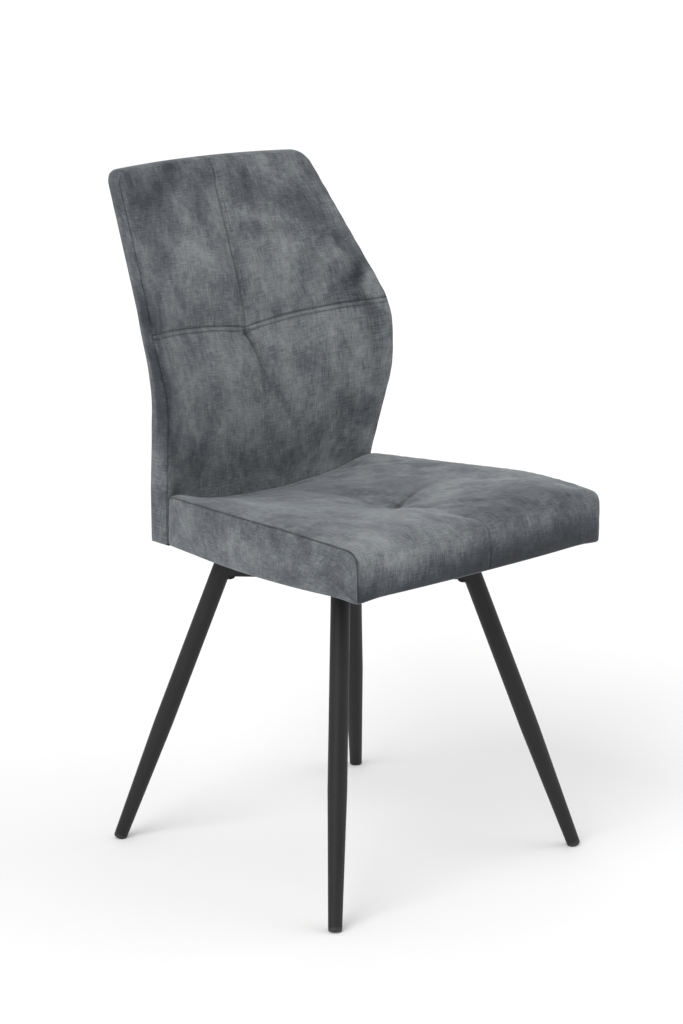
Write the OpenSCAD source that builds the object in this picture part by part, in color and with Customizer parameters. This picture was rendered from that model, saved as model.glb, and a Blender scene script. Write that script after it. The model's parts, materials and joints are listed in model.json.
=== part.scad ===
// Upholstered dining chair: a padded seat and a winged back on a splayed four-leg steel frame.
// Millimetres, +Z up. The origin is on the floor, under the middle of the overall width and depth.
// The sitter faces -Y. Left and right are the sitter's own, so left is +X.
// A place along the chair is given as its distance behind the front of the seat.

/* [Seat] */
// Height of the seat's upper edge above the floor
seat_height = 510; // [420:1:620]
// Width of the seat at its widest, near the front
seat_width = 448; // [370:1:540]
// Width of the seat where it meets the back
seat_rear_width = 370; // [305:1:445]
// Depth of the seat along its middle, up to the face of the back
seat_depth = 438; // [364:1:526]
// Thickness of the padded seat at its upper edge
seat_thickness = 66; // [54:1:80]
// Slope of the seat board, down towards the rear, in degrees
board_slope = 2.35; // [1:0.05:4]
// Slope of the padded top behind its level front part, in degrees
top_slope = 3.2; // [1:0.1:5]
// How far the middle of the seat sinks below its edge at the rear
seat_dish = 27; // [10:1:34]
// How far the middle of the front face stands ahead of its corners
front_crown = 9; // [2:1:16]
// Radius of the roll along the top of the front face
front_roll = 16; // [10:1:24]
// Radius of the roll along the top of the rear face
rear_roll = 7; // [4:1:10]

/* [Back] */
// Height of the top of the back above the floor
overall_height = 913; // [790:1:1100]
// Width of the back at its waist
waist_width = 422; // [360:1:506]
// Height of the waist above the floor
waist_height = 705; // [640:1:760]
// Width of the back at its top
top_width = 331; // [275:1:400]
// Lean of the upper half of the back, in degrees
back_lean = 20; // [10:0.5:26]
// Height at which the middle of the back starts to lean
bend_height = 622; // [580:1:680]
// How far the side edges stand ahead of the middle at the waist
wing_depth = 67; // [20:1:82]
// The same at the top of the back
wing_top_depth = 8; // [0:1:20]
// The same at the level of the seat
wing_base_depth = 22; // [8:1:27]
// Thickness of the back in its upper half, measured level
upper_thickness = 25; // [24:1:32]
// Thickness of the back at the level of the seat, measured level
lower_thickness = 37; // [36:1:46]
// How far the cross seam climbs from the middle to the side edges
seam_rise = 20; // [0:1:30]

/* [Upholstery] */
// Thickness of the fabric with its wadding
cover = 2; // [1:0.5:4]
// Thickness of the strip that the covers are stapled down by
hem = 1; // [0.6:0.2:2]
// Width of that strip
hem_width = 28; // [18:1:36]
// Thickness of the dust cover
dust_sheet = 0.8; // [0.4:0.2:1]
// Thickness of the seat's plywood board
seat_board_thickness = 12; // [9:1:18]
// Thickness of the back's moulded plywood shell
back_board_thickness = 9; // [6:1:10]
// Foam between the back's plywood shell and its rear cover
rear_pad = 6; // [4:1:8]

/* [Legs] */
// Distance between the tips of two neighbouring legs
foot_spacing = 443; // [370:1:530]
// Distance from the middle of the frame to the face of the back
frame_to_back = 170; // [166:1:190]
// Splay of a leg from the vertical, along the diagonal, in degrees
leg_splay = 20.6; // [12:0.1:26]
// Diameter of a leg over its upper length
leg_diameter = 25.4; // [22:0.1:32]
// Diameter of a leg at its tip
tip_diameter = 18; // [15:0.5:21.5]
// Length of the tapered part of a leg
taper_length = 180; // [120:5:240]
// Wall of the leg tube
leg_wall = 1.5; // [1:0.1:2.5]
// Height of the plastic glide that shows below the tube
glide_height = 6; // [4:0.5:10]
// Length of the glide's plug inside the tube
glide_plug = 18; // [10:1:30]

/* [Frame] */
// Width of a cross bar
bar_width = 20; // [16:1:24]
// Height of a cross bar
bar_height = 40; // [30:1:50]
// Wall of a cross bar
bar_wall = 1.5; // [1:0.1:2.5]
// Thickness of a mounting plate
plate_thickness = 3; // [2:0.5:5]
// Length of a mounting plate, across its bar
plate_length = 84; // [76:1:100]
// Width of a mounting plate, along its bar
plate_width = 46; // [36:1:56]
// Distance of a mounting plate from the middle of the frame
plate_reach = 112; // [104:1:118]
// Least height of a spacer, at the rear edge of the rear pair
spacer_height = 5; // [4:1:12]
// Distance between the two bolts in a mounting plate
bolt_spacing = 60; // [52:1:70]
// Size of a weld's two legs
weld_size = 4; // [2:0.5:6]

/* [Fasteners] */
// Diameter of the bolts
bolt_diameter = 6; // [5:1:8]
// Clearance around a bolt, on the radius
bolt_clearance = 0.4; // [0.2:0.1:0.8]
// Outer diameter of a tee nut's barrel
barrel_diameter = 8; // [7:0.5:10]
// Diameter of a tee nut's flange
flange_diameter = 18; // [15:1:20]
// Thickness of a tee nut's flange and of a washer
flange_thickness = 1.4; // [1:0.1:2]
// Clearance around a tee nut in its board, on the radius
nut_clearance = 0.1; // [0.05:0.05:0.3]

/* [Brackets] */
// Distance from the middle of the chair to the middle of a bracket
bracket_offset = 52; // [45:1:54]
// Width of a bracket
bracket_width = 30; // [24:1:34]
// Thickness of a bracket
bracket_thickness = 3; // [2:0.5:4]
// Height of the upright part above the underside of the back
bracket_rise = 92; // [80:1:94]
// Length of the level part under the seat, ahead of the face of the back
bracket_reach = 35; // [32:1:36]
// Width of the level part, which takes two bolts side by side
bracket_foot_width = 60; // [52:1:64]
// Distance between those two bolts
bracket_bolt_spacing = 36; // [30:1:40]
// Distance of those bolts ahead of the face of the back
bracket_bolt_inset = 22; // [19:1:24]

/* [Hidden] */
$fn = 48;
eps = 0.01;
// Columns across an upholstered surface, and rows in each half of the back
columns = 16;
half_rows = 8;
rows = 2 * half_rows;

// Power that sets how the back curves from its middle to its edges
wing_power = 2.2;
// Power that sets how the seat's front face curves in plan
crown_power = 2.5;
// Place where the seat's sides reach their full width, the rounding of that bend,
// and the narrowing at the front corners
wide_place = 143;
side_round = 10;
front_taper = 6;
// Place in front of which the seat's top is level, and its fall at the very front
level_place = 150;
front_fall = 3;
// Fall of the back's top edge towards its corners
top_fall = 4;
corner_fall = 6;
// How far below the bend the back starts to thin towards its upper half
thinning_run = 40;
// Rounding of the bend, of the wings and of the outline
bend_round = 8;
wing_round = 20;
outline_round = 8;
// Gap around a board inside its cover, and between the seat's board and its foam
board_gap = 1;
foam_gap = 0.3;
// How the seat sinks and curves in plan: the power of the sinking along the seat, the place where
// its rear starts to follow the back, and how far the crown of the front face reaches back
dip_power = 1.3;
follow_place = 250;
crown_run = 80;
// How far the flat of the shell stands ahead of its rear surface, where the brackets bolt on
shell_flat = 5;
// Reach of the solids that only cut
far = 500;

// Basic rules for curves
function mix(a, b, t) = a + (b - a) * t;
function clamp(t) = min(1, max(0, t));
function ease(t) = let (c = clamp(t)) c * c * (3 - 2 * c);
function smooth_max(a, b, r) = max(a, b) + pow(max(0, r - abs(a - b)), 2) / (4 * r);
function smooth_min(a, b, r) = min(a, b) - pow(max(0, r - abs(a - b)), 2) / (4 * r);

// Heights of the seat: its upper edge and its underside
function edge_height(place) =
    seat_height - tan(top_slope) * max(0, place - level_place)
    - front_fall * pow(max(0, 1 - place / level_place), 2);
function underside(place) = seat_height - seat_thickness - tan(board_slope) * place;

// The back, by height
side_place = seat_depth - wing_base_depth;
base_level = edge_height(side_place);
back_bottom = underside(seat_depth);
seam_height = waist_height - seam_rise / 2;
function above_seat(z) = max(z, base_level);
function back_middle(z) =
    smooth_max(seat_depth, seat_depth + tan(back_lean) * (z - bend_height), bend_round);
function rise(z) = (z - base_level) / (waist_height - base_level);
function drop(z) = (overall_height - z) / (overall_height - waist_height);
function tent(z, base, waist, top, r) =
    smooth_min(mix(base, waist, rise(z)), mix(top, waist, drop(z)), r);
function wing(z) = tent(above_seat(z), wing_base_depth, wing_depth, wing_top_depth, wing_round);
function back_half(z) =
    tent(above_seat(z), seat_rear_width / 2, waist_width / 2, top_width / 2, outline_round);
function back_thickness(z) =
    let (low = bend_height - thinning_run)
    mix(lower_thickness, upper_thickness, ease((z - low) / (waist_height - low)));
function back_face(u, z) = back_middle(above_seat(z)) - wing(z) * pow(abs(u), wing_power);
function back_top(u) = overall_height - top_fall * u * u - corner_fall * pow(u, 12);

overall_depth = back_middle(overall_height) + back_thickness(overall_height);
front_y = -overall_depth / 2;
frame_setback = seat_depth - frame_to_back;

// Height of a back surface's point: v runs from the underside, 0, by way of the seam to the top, 1
function back_z(u, v, margin) =
    let (seam = seam_height + seam_rise * abs(u))
    v < 0.5 ? mix(back_bottom + margin, seam, 2 * v)
            : mix(seam, back_top(u) - margin, 2 * v - 1);

// A point of the back, some depth behind its face and some margin in from its outline
function back_point(u, v, from_face, from_rear, margin) =
    let (z = back_z(u, v, margin), half = back_half(z), x = u * (half - margin),
         face = back_face(x / half, z))
    [x, front_y + (is_undef(from_rear) ? face + from_face
                                       : face + back_thickness(z) - from_rear), z];

// Rear surface of the plywood shell: parallel to the rear cover, and flat where the brackets bolt on
board_plane = seat_depth + lower_thickness - cover - rear_pad - shell_flat;
function shell_point(u, v, forward) =
    let (p = back_point(u, v, undef, cover + rear_pad, cover),
         lean = tan(back_lean) * max(0, p[2] - bend_height))
    [p[0], min(p[1], front_y + board_plane + lean) - forward, p[2]];

function back_u(i) = 2 * i / columns - 1;
function back_rows(first, last, from_face, from_rear, margin, i0 = 0, i1 = columns) =
    [for (j = [first:last]) [for (i = [i0:i1])
        back_point(back_u(i), j / rows, from_face, from_rear, margin)]];
function shell_rows(forward) =
    [for (j = [0:rows]) [for (i = [0:columns]) shell_point(back_u(i), j / rows, forward)]];

// Plan of the seat
function seat_half(place) =
    smooth_min(mix(seat_width, seat_rear_width, (place - wide_place) / (side_place - wide_place)),
               seat_width, 2 * side_round) / 2
    - front_taper * pow(max(0, 1 - place / wide_place), 2);
function seat_dip(place, u) = seat_dish * pow(clamp(place / side_place), dip_power) * (1 - u * u);

// Profile of the seat's edge as stations [place, depth below the top edge, on the base plane],
// from the foot of the rear face, over the top, to the foot of the front face
top_stations = 9;
roll_stations = 4;
// Gap between the seat's rear face and the back
unit_gap = 0.5;
seat_rear = side_place - unit_gap;
function seat_stations(margin) = concat(
    [[seat_rear - margin, 0, true]],
    [for (a = [0:45:90]) [seat_rear - rear_roll + (rear_roll - margin) * cos(a),
                          rear_roll - (rear_roll - margin) * sin(a), false]],
    [for (k = [1:top_stations - 1])
        [mix(seat_rear - rear_roll, front_crown + front_roll, k / top_stations), margin, false]],
    [for (k = [0:roll_stations]) let (a = 90 * k / roll_stations)
        [front_crown + front_roll - (front_roll - margin) * sin(a),
         front_roll - (front_roll - margin) * cos(a), false]],
    [[front_crown + margin, 0, true]]);
station_count = len(seat_stations(0));

// Plan shift of a seat point: the rear follows the back, and the front is crowned
function seat_shift(place, u) =
    wing_base_depth * (1 - pow(abs(u), wing_power))
        * clamp((place - follow_place) / (seat_rear - follow_place))
    - front_crown * (1 - pow(abs(u), crown_power)) * clamp(1 - (place - front_crown) / crown_run);
function seat_point(station, u, margin, base) =
    let (place = station[0] + seat_shift(station[0], u))
    [u * (seat_half(station[0]) - margin), front_y + place,
     station[2] ? underside(place) + base
                : edge_height(station[0]) - seat_dip(station[0], u) - station[1]];
function seat_skin(margin, base) =
    [for (station = seat_stations(margin)) [for (i = [0:columns])
        seat_point(station, back_u(i), margin, base)]];

// Height of the foam's base above the underside
foam_base = hem + seat_board_thickness + foam_gap;

// The row on the base plane that belongs to each station, so that a loft can close under it
foot_inset = 9;
function foot_place(k, margin) =
    mix(seat_rear - margin - foot_inset, front_crown + margin + foot_inset,
        k / (station_count - 1));
function seat_floor(margin, base) =
    [for (k = [0:station_count - 1]) [for (i = [0:columns])
        seat_point([foot_place(k, margin), 0, true], back_u(i), margin, base)]];

// A closed solid between an outer and an inner grid of points with the same rows and columns
function grid_faces(nr, nc, base, outward) =
    [for (r = [0:nr - 2], c = [0:nc - 2])
        let (a = base + r * nc + c, b = a + 1, d = a + nc, e = d + 1)
        each outward ? [[a, b, e], [a, e, d]] : [[a, e, b], [a, d, e]]];
function rim_faces(nr, nc, n) = concat(
    [for (c = [0:nc - 2]) each [[c + 1, c, n + c], [c + 1, n + c, n + c + 1]]],
    [for (c = [0:nc - 2]) let (d = (nr - 1) * nc + c)
        each [[d, d + 1, n + d + 1], [d, n + d + 1, n + d]]],
    [for (r = [0:nr - 2]) let (a = r * nc, d = a + nc)
        each [[a, d, n + d], [a, n + d, n + a]]],
    [for (r = [0:nr - 2]) let (b = r * nc + nc - 1, e = b + nc)
        each [[b, n + b, n + e], [b, n + e, e]]]);
module slab(outer, inner) {
    nr = len(outer);
    nc = len(outer[0]);
    n = nr * nc;
    polyhedron(
        points = concat([for (row = outer) each row], [for (row = inner) each row]),
        faces = concat(grid_faces(nr, nc, 0, true), grid_faces(nr, nc, n, false),
                       rim_faces(nr, nc, n)));
}

// Outline of the seat in plan, moved in by a margin, as [x, place]
outline_steps = 14;
function seat_outline(margin) = concat(
    [for (k = [0:outline_steps])
        let (place = mix(front_crown + margin, seat_rear - margin, k / outline_steps))
        [seat_half(place) - margin, place]],
    [for (i = [columns - 1:-1:1]) let (u = back_u(i))
        [u * (seat_half(seat_rear) - margin),
         seat_rear - margin + seat_shift(seat_rear, u)]],
    [for (k = [outline_steps:-1:0])
        let (place = mix(front_crown + margin, seat_rear - margin, k / outline_steps))
        [margin - seat_half(place), place]],
    [for (i = [1:columns - 1]) let (u = back_u(i))
        [u * (seat_half(front_crown) - margin),
         front_crown + margin + seat_shift(front_crown, u)]]);

// Puts children on the seat's sloping underside: x, distance along the slope, height above it
module on_underside() {
    translate([0, front_y, underside(0)]) rotate([-board_slope, 0, 0]) children();
}

// Places of the bolts
plate_place = plate_reach / sqrt(2);
function plate_bolt(sx, sy, side) =
    let (a = atan2(sy, sx))
    [plate_reach * cos(a) - side * bolt_spacing / 2 * sin(a),
     front_y + frame_setback + plate_reach * sin(a) + side * bolt_spacing / 2 * cos(a)];
frame_bolts_at = [for (sx = [-1, 1], sy = [-1, 1], side = [-1, 1]) plate_bolt(sx, sy, side)];
bracket_front = seat_depth - bracket_reach;
bracket_bolts_at = [for (sx = [-1, 1], side = [-1, 1])
    [sx * bracket_offset + side * bracket_bolt_spacing / 2,
     front_y + seat_depth - bracket_bolt_inset]];
// Distances of a bracket's bolts in the back from the back's underside and from the bracket's top
low_bolt_rise = 38;
high_bolt_drop = 14;
bracket_bolt_heights = [back_bottom + low_bolt_rise, back_bottom + bracket_rise - high_bolt_drop];
back_bolts_at = [for (sx = [-1, 1], z = bracket_bolt_heights) [sx * bracket_offset, z]];
function board_top(y) = underside(y - front_y) + hem + seat_board_thickness;

// Heights of the frame: the rear spacers set it
rear_plate_place = frame_setback + plate_place + (plate_width + plate_length) / (2 * sqrt(2));
plate_top = underside(rear_plate_place) - spacer_height;
bar_top = plate_top - plate_thickness;
bar_bottom = bar_top - bar_height;
foot_reach = foot_spacing / sqrt(2);
leg_radius = leg_diameter / 2;
tip_radius = tip_diameter / 2;
leg_length = (bar_top + leg_diameter) / cos(leg_splay);
function tube_radius(along) = mix(tip_radius, leg_radius, clamp(along / taper_length));
// Glides: the height of the sole on the leg's axis, before it is cut level, the rounding of its
// edge, and the gap around the plug
sole_lift = 0.5;
glide_edge = 2;
plug_clearance = 0.05;
// Plates: the corners, how much smaller a spacer is, and the height that a spacer is cut down from
plate_corner = 6;
spacer_margin = 2;
spacer_blank = 40;
// Bolts: the head, its taper, its socket and its washer
head_height = 3.4;
head_radius = 5.4;
head_taper = 1;
socket_across = 4;
washer_radius = 7;
// Tufts: where they are drawn in, and the cords and toggles that draw them
tuft_place = 189;
tuft_drop = 10;
tuft_height = seam_height - tuft_drop;
tie_radius = 1;
tie_clearance = 0.5;
toggle_length = 24;
toggle_radius = 3;
toggle_gap = 1;

// Puts children at a corner of the frame: +X then runs outwards along the diagonal
module at_corner(sx, sy) {
    translate([0, front_y + frame_setback, 0]) rotate([0, 0, atan2(sy, sx)]) children();
}

// Puts children on a leg's axis, with +Z up along the leg from the floor
module on_leg() {
    translate([foot_reach, 0, 0]) rotate([0, -leg_splay, 0]) children();
}

module leg_core() {
    on_leg() cylinder(r = leg_radius, h = leg_length);
}

module leg(sx, sy) {
    color("#2d2d30") at_corner(sx, sy) difference() {
        on_leg() rotate_extrude() polygon([
            [tube_radius(glide_height), glide_height],
            [leg_radius, taper_length],
            [leg_radius, leg_length],
            [leg_radius - leg_wall, leg_length],
            [leg_radius - leg_wall, taper_length],
            [tube_radius(glide_height) - leg_wall, glide_height]]);
        translate([0, -far / 2, bar_top]) cube(far);
    }
}

module glide(sx, sy) {
    plug_radius = tube_radius(glide_height) - leg_wall - plug_clearance;
    sole_radius = tip_radius - glide_edge;
    color("#1c1c1e") at_corner(sx, sy) difference() {
        on_leg() rotate_extrude() polygon(concat(
            [[0, sole_lift]],
            [for (a = [0:15:90]) [sole_radius + glide_edge * sin(a),
                                  sole_lift + glide_edge * (1 - cos(a))]],
            [[tube_radius(glide_height), glide_height],
             [plug_radius, glide_height],
             [plug_radius, glide_height + glide_plug],
             [0, glide_height + glide_plug]]));
        translate([0, -far / 2, -far]) cube(far);
    }
}

// A rectangular tube along +X, coped to a leg at its outer end
module bar_tube(from, to) {
    translate([from, -bar_width / 2, bar_bottom]) difference() {
        cube([to - from, bar_width, bar_height]);
        translate([-eps, bar_wall, bar_wall])
            cube([to - from + 2 * eps, bar_width - 2 * bar_wall, bar_height - 2 * bar_wall]);
    }
}

// What a leg takes off the end of a bar: the leg itself and all that is beyond its axis
module cope() {
    leg_core();
    on_leg() translate([0, -far / 2, 0]) cube([far, far, leg_length]);
}

module cross_bar_long() {
    color("#2d2d30") at_corner(1, -1) difference() {
        bar_tube(-foot_reach, foot_reach);
        cope();
        rotate([0, 0, 180]) cope();
    }
}

module cross_bar_half(sx, sy) {
    color("#2d2d30") at_corner(sx, sy) difference() {
        bar_tube(bar_width / 2, foot_reach);
        cope();
    }
}

// Fillet welds: under each bar against its leg, and in the four corners of the crossing
module weld_beads() {
    on_axis = bar_bottom / cos(leg_splay);
    color("#38383b") for (sx = [-1, 1], sy = [-1, 1]) at_corner(sx, sy) {
        intersection() {
            difference() {
                on_leg() translate([0, 0, on_axis - 2 * weld_size])
                    cylinder(r1 = leg_radius, r2 = leg_radius + 2 * weld_size,
                             h = 3 * weld_size, $fn = 64);
                leg_core();
            }
            translate([0, -bar_width / 2, bar_bottom - weld_size])
                cube([foot_reach - bar_bottom * tan(leg_splay), bar_width, weld_size]);
        }
        rotate([0, 0, 45]) translate([bar_width / sqrt(2), 0, bar_bottom])
            rotate([0, 0, -45]) linear_extrude(bar_height)
                polygon([[0, 0], [weld_size, 0], [0, weld_size]]);
    }
}

module rounded_plate(length_x, length_y, corner, height) {
    linear_extrude(height) union() {
        square([length_x - 2 * corner, length_y], center = true);
        square([length_x, length_y - 2 * corner], center = true);
        for (x = [-1, 1], y = [-1, 1])
            translate([x * (length_x / 2 - corner), y * (length_y / 2 - corner)])
                circle(r = corner);
    }
}

module drill(points, radius) {
    for (p = points) translate([p[0], p[1], 0]) cylinder(r = radius, h = 2 * far);
}

module mount_plate(sx, sy) {
    color("#2d2d30") difference() {
        at_corner(sx, sy) translate([plate_reach, 0, bar_top])
            rounded_plate(plate_width, plate_length, plate_corner, plate_thickness);
        drill(frame_bolts_at, bolt_diameter / 2 + bolt_clearance);
    }
}

module spacer(sx, sy) {
    color("#1c1c1e") difference() {
        at_corner(sx, sy) translate([plate_reach, 0, plate_top])
            rounded_plate(plate_width - spacer_margin, plate_length - spacer_margin,
                          plate_corner - spacer_margin / 2, spacer_blank);
        drill(frame_bolts_at, bolt_diameter / 2 + bolt_clearance);
        on_underside() translate([-seat_width / 2, 0, 0])
            cube([seat_width, seat_depth, 2 * spacer_blank]);
    }
}

// A button-head bolt with its head at the origin's level and its shank upwards
module bolt(shank) {
    difference() {
        union() {
            translate([0, 0, -head_height]) cylinder(r1 = head_radius - head_taper, r2 = head_radius,
                                                     h = head_height);
            cylinder(r = bolt_diameter / 2, h = shank);
        }
        translate([0, 0, -head_height - eps])
            cylinder(r = socket_across / sqrt(3), h = head_height / 2, $fn = 6);
    }
}

module washer() {
    difference() {
        cylinder(r = washer_radius, h = flange_thickness);
        translate([0, 0, -eps])
            cylinder(r = bolt_diameter / 2 + bolt_clearance, h = flange_thickness + 2 * eps);
    }
}

// Tee nuts: how deep the flange sinks, and how far the barrel stops short of the board's far face
nut_depth = 0.6;
barrel_short = 5;
back_barrel_short = 1;
function nut_floor(y) = board_top(y) - nut_depth - flange_thickness
    - flange_diameter / 2 * tan(board_slope);
module tee_nut(barrel) {
    difference() {
        union() {
            cylinder(r = flange_diameter / 2, h = flange_thickness);
            translate([0, 0, -barrel]) cylinder(r = barrel_diameter / 2, h = barrel + eps);
        }
        translate([0, 0, -barrel - eps])
            cylinder(r = bolt_diameter / 2 + plug_clearance, h = barrel + flange_thickness + 1);
    }
}

module frame_bolts() {
    color("#3a3a3d") for (p = frame_bolts_at)
        translate([p[0], p[1], bar_top - flange_thickness])
            bolt(nut_floor(p[1]) - bar_top + flange_thickness);
}

module frame_washers() {
    color("#8b8d90") for (p = frame_bolts_at)
        translate([p[0], p[1], bar_top - flange_thickness]) washer();
}

// Upright holes and sunk seats for the tee nuts in the seat board
module nut_seats(points) {
    for (p = points) translate([p[0], p[1], nut_floor(p[1])]) {
        cylinder(r = flange_diameter / 2 + nut_clearance, h = far);
        translate([0, 0, -far]) cylinder(r = barrel_diameter / 2 + nut_clearance, h = far + 1);
    }
}

module seat_board() {
    color("#c8a878") difference() {
        on_underside() translate([0, 0, hem]) linear_extrude(seat_board_thickness)
            polygon(seat_outline(cover + board_gap));
        nut_seats(concat(frame_bolts_at, bracket_bolts_at));
        drill([[0, front_y + tuft_place]], tie_radius + tie_clearance);
    }
}

module seat_tee_nuts() {
    color("#8b8d90") for (p = concat(frame_bolts_at, bracket_bolts_at))
        translate([p[0], p[1], nut_floor(p[1])]) tee_nut(seat_board_thickness - barrel_short);
}

module seat_foam() {
    color("#e6dcb8") difference() {
        slab(seat_skin(cover, foam_base), seat_floor(cover, foam_base));
        drill([[0, front_y + tuft_place]], tie_radius + tie_clearance);
    }
}

module seat_cover_top() {
    color("#5d6266") slab(seat_skin(0, 0), seat_skin(cover, 0));
}

// A side band of the seat cover, from the edge of the top panel, past the base of the foam,
// down to the underside
function band_grid(side, margin) =
    let (stations = seat_stations(margin))
    [for (k = [0:station_count - 1])
        let (place = foot_place(k, margin), x = side * (seat_half(place) - margin))
        [seat_point(stations[k], side, margin, 0),
         [x, front_y + place, underside(place) + foam_base],
         [x, front_y + place, underside(place)]]];
module seat_band(side) {
    color("#62665f")
        if (side > 0) slab(band_grid(side, 0), band_grid(side, cover));
        else slab(band_grid(side, cover), band_grid(side, 0));
}

module seat_hem_strip() {
    color("#222224") difference() {
        on_underside() linear_extrude(hem) difference() {
            polygon(seat_outline(cover + board_gap));
            polygon(seat_outline(cover + hem_width));
        }
        drill(bracket_bolts_at, bolt_diameter / 2 + bolt_clearance);
    }
}

module seat_dust_cover() {
    color("#18181a") difference() {
        on_underside() translate([0, 0, hem - dust_sheet]) linear_extrude(dust_sheet)
            polygon(seat_outline(cover + hem_width + unit_gap));
        drill(concat(frame_bolts_at, bracket_bolts_at), barrel_diameter / 2 + bolt_clearance);
        drill([[0, front_y + tuft_place]], toggle_length / 2 + toggle_gap);
    }
}

// Staple crowns along the hem strip; the wire legs that go into the board are left out
staple_length = 10;
staple_wire = 1.2;
staple_pitch = 36;
// Least distance of a staple from the corners
staple_end = 38;
function staple_row(half) =
    let (count = floor((half - staple_end) / staple_pitch))
    [for (k = [-count:count]) k * staple_pitch];
module staples() {
    inset = cover + hem_width / 2;
    color("#b9bbbd") on_underside() translate([0, 0, -staple_wire / 2]) {
        for (side = [-1, 1], place = [staple_end:staple_pitch:seat_rear - staple_end])
            translate([side * (seat_half(place) - inset), place, 0])
                cube([staple_wire, staple_length, staple_wire], center = true);
        for (x = staple_row(seat_half(front_crown))) translate([x, front_crown + inset, 0])
            cube([staple_length, staple_wire, staple_wire], center = true);
        for (x = staple_row(seat_half(seat_rear))) translate([x, seat_rear - inset, 0])
            cube([staple_length, staple_wire, staple_wire], center = true);
    }
}

// The cord that pulls the seat's tuft down, with its toggle under the board
module seat_tuft_tie() {
    low = underside(tuft_place) + hem - toggle_radius;
    high = edge_height(tuft_place) - seat_dip(tuft_place, 0) - cover - 1;
    color("#d8d4c8") translate([0, front_y + tuft_place, 0]) {
        translate([0, 0, low]) cylinder(r = tie_radius, h = high - low);
        translate([-toggle_length / 2, 0, low]) rotate([0, 90, 0])
            cylinder(r = toggle_radius, h = toggle_length);
    }
}

// The four panels of the back's front cover; the upper two wrap over the top edge
module upper_panel(i0, i1) {
    rim_outer = back_rows(rows, rows, undef, 0, 0, i0, i1);
    rim_inner = back_rows(rows, rows, undef, cover, cover, i0, i1);
    color("#5d6266") slab(
        concat(back_rows(half_rows, rows, 0, undef, 0, i0, i1), rim_outer),
        concat(back_rows(half_rows, rows, cover, undef, cover, i0, i1), rim_inner));
}
module lower_panel(i0, i1) {
    color("#5d6266") slab(back_rows(0, half_rows, 0, undef, 0, i0, i1),
                          back_rows(0, half_rows, cover, undef, cover, i0, i1));
}

// A side band of the back's cover, between the front panels and the rear panel
function back_edge(side, from_face, from_rear, margin) =
    [for (j = [0:rows]) back_point(side, j / rows, from_face, from_rear, margin)];
function back_band_grid(side, margin) =
    let (front = back_edge(side, margin, undef, margin),
         rear = back_edge(side, undef, margin, margin))
    [for (j = [0:rows]) side > 0 ? [front[j], rear[j]] : [rear[j], front[j]]];
module back_band(side) {
    color("#62665f") slab(back_band_grid(side, 0), back_band_grid(side, cover));
}

module back_cover_rear() {
    color("#5d6266") slab(back_rows(0, rows, undef, cover, cover),
                          back_rows(0, rows, undef, 0, 0));
}

module back_bottom_cover() {
    color("#18181a") difference() {
        slab(concat(back_rows(0, 0, 0, undef, 0), back_rows(0, 0, undef, 0, 0)),
             concat(back_rows(0, 0, cover, undef, cover), back_rows(0, 0, undef, cover, cover)));
        for (side = [-1, 1])
            translate([side * bracket_offset - bracket_width / 2 - unit_gap,
                       front_y + board_plane - unit_gap, back_bottom - cover])
                cube([bracket_width + 2 * unit_gap, bracket_thickness + 2 * unit_gap, 3 * cover]);
    }
}

// The flat bar of a bracket: upright behind the shell, then forwards to its foot under the seat
bend_radius = 5;
bracket_foot_length = 26;
module bracket_bar(side, ease_gap = 0) {
    rear = board_plane + bracket_thickness + ease_gap;
    bend = bend_radius;
    turn = [rear - bend, underside(rear) - bracket_thickness + bend];
    width = bracket_width + 2 * ease_gap;
    translate([side * bracket_offset - width / 2, front_y, 0])
        rotate([90, 0, 90]) linear_extrude(width) polygon(concat(
            [[board_plane - ease_gap, back_bottom + bracket_rise],
             [board_plane - ease_gap, underside(board_plane)],
             [bracket_front, underside(bracket_front)],
             [bracket_front, underside(bracket_front) - bracket_thickness]],
            [for (a = [-90:15:0]) turn + bend * [cos(a), sin(a)]],
            [[rear, back_bottom + bracket_rise]]));
}

module bracket_foot(side) {
    translate([side * bracket_offset - bracket_foot_width / 2, front_y, 0])
        rotate([90, 0, 90]) linear_extrude(bracket_foot_width) polygon([
            for (p = [[bracket_front, 0], [bracket_front, -1],
                      [bracket_front + bracket_foot_length, -1],
                      [bracket_front + bracket_foot_length, 0]])
                [p[0], underside(p[0]) + p[1] * bracket_thickness]]);
}

module bracket(side) {
    hole = bolt_diameter / 2 + bolt_clearance;
    color("#2d2d30") difference() {
        union() {
            bracket_bar(side);
            bracket_foot(side);
        }
        drill(bracket_bolts_at, hole);
        for (p = back_bolts_at) translate([p[0], front_y, p[1]])
            rotate([-90, 0, 0]) cylinder(r = hole, h = 2 * far);
    }
}

module bracket_seat_bolts() {
    color("#3a3a3d") for (p = bracket_bolts_at) {
        under = underside(p[1] - front_y) - bracket_thickness
            - head_radius * tan(board_slope);
        translate([p[0], p[1], under]) bolt(nut_floor(p[1]) - under);
    }
}

// Puts children on a bracket's bolt axis in the back, +Z running forwards from the bracket's rear
module at_back_bolt(p) {
    translate([p[0], front_y + board_plane + bracket_thickness, p[1]])
        rotate([90, 0, 0]) children();
}

module bracket_back_bolts() {
    color("#3a3a3d") for (p = back_bolts_at)
        at_back_bolt(p) bolt(bracket_thickness + back_board_thickness - flange_thickness);
}

module back_tee_nuts() {
    color("#8b8d90") for (p = back_bolts_at)
        at_back_bolt(p)
            translate([0, 0, bracket_thickness + back_board_thickness - flange_thickness])
                tee_nut(back_board_thickness - flange_thickness - back_barrel_short);
}

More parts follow.
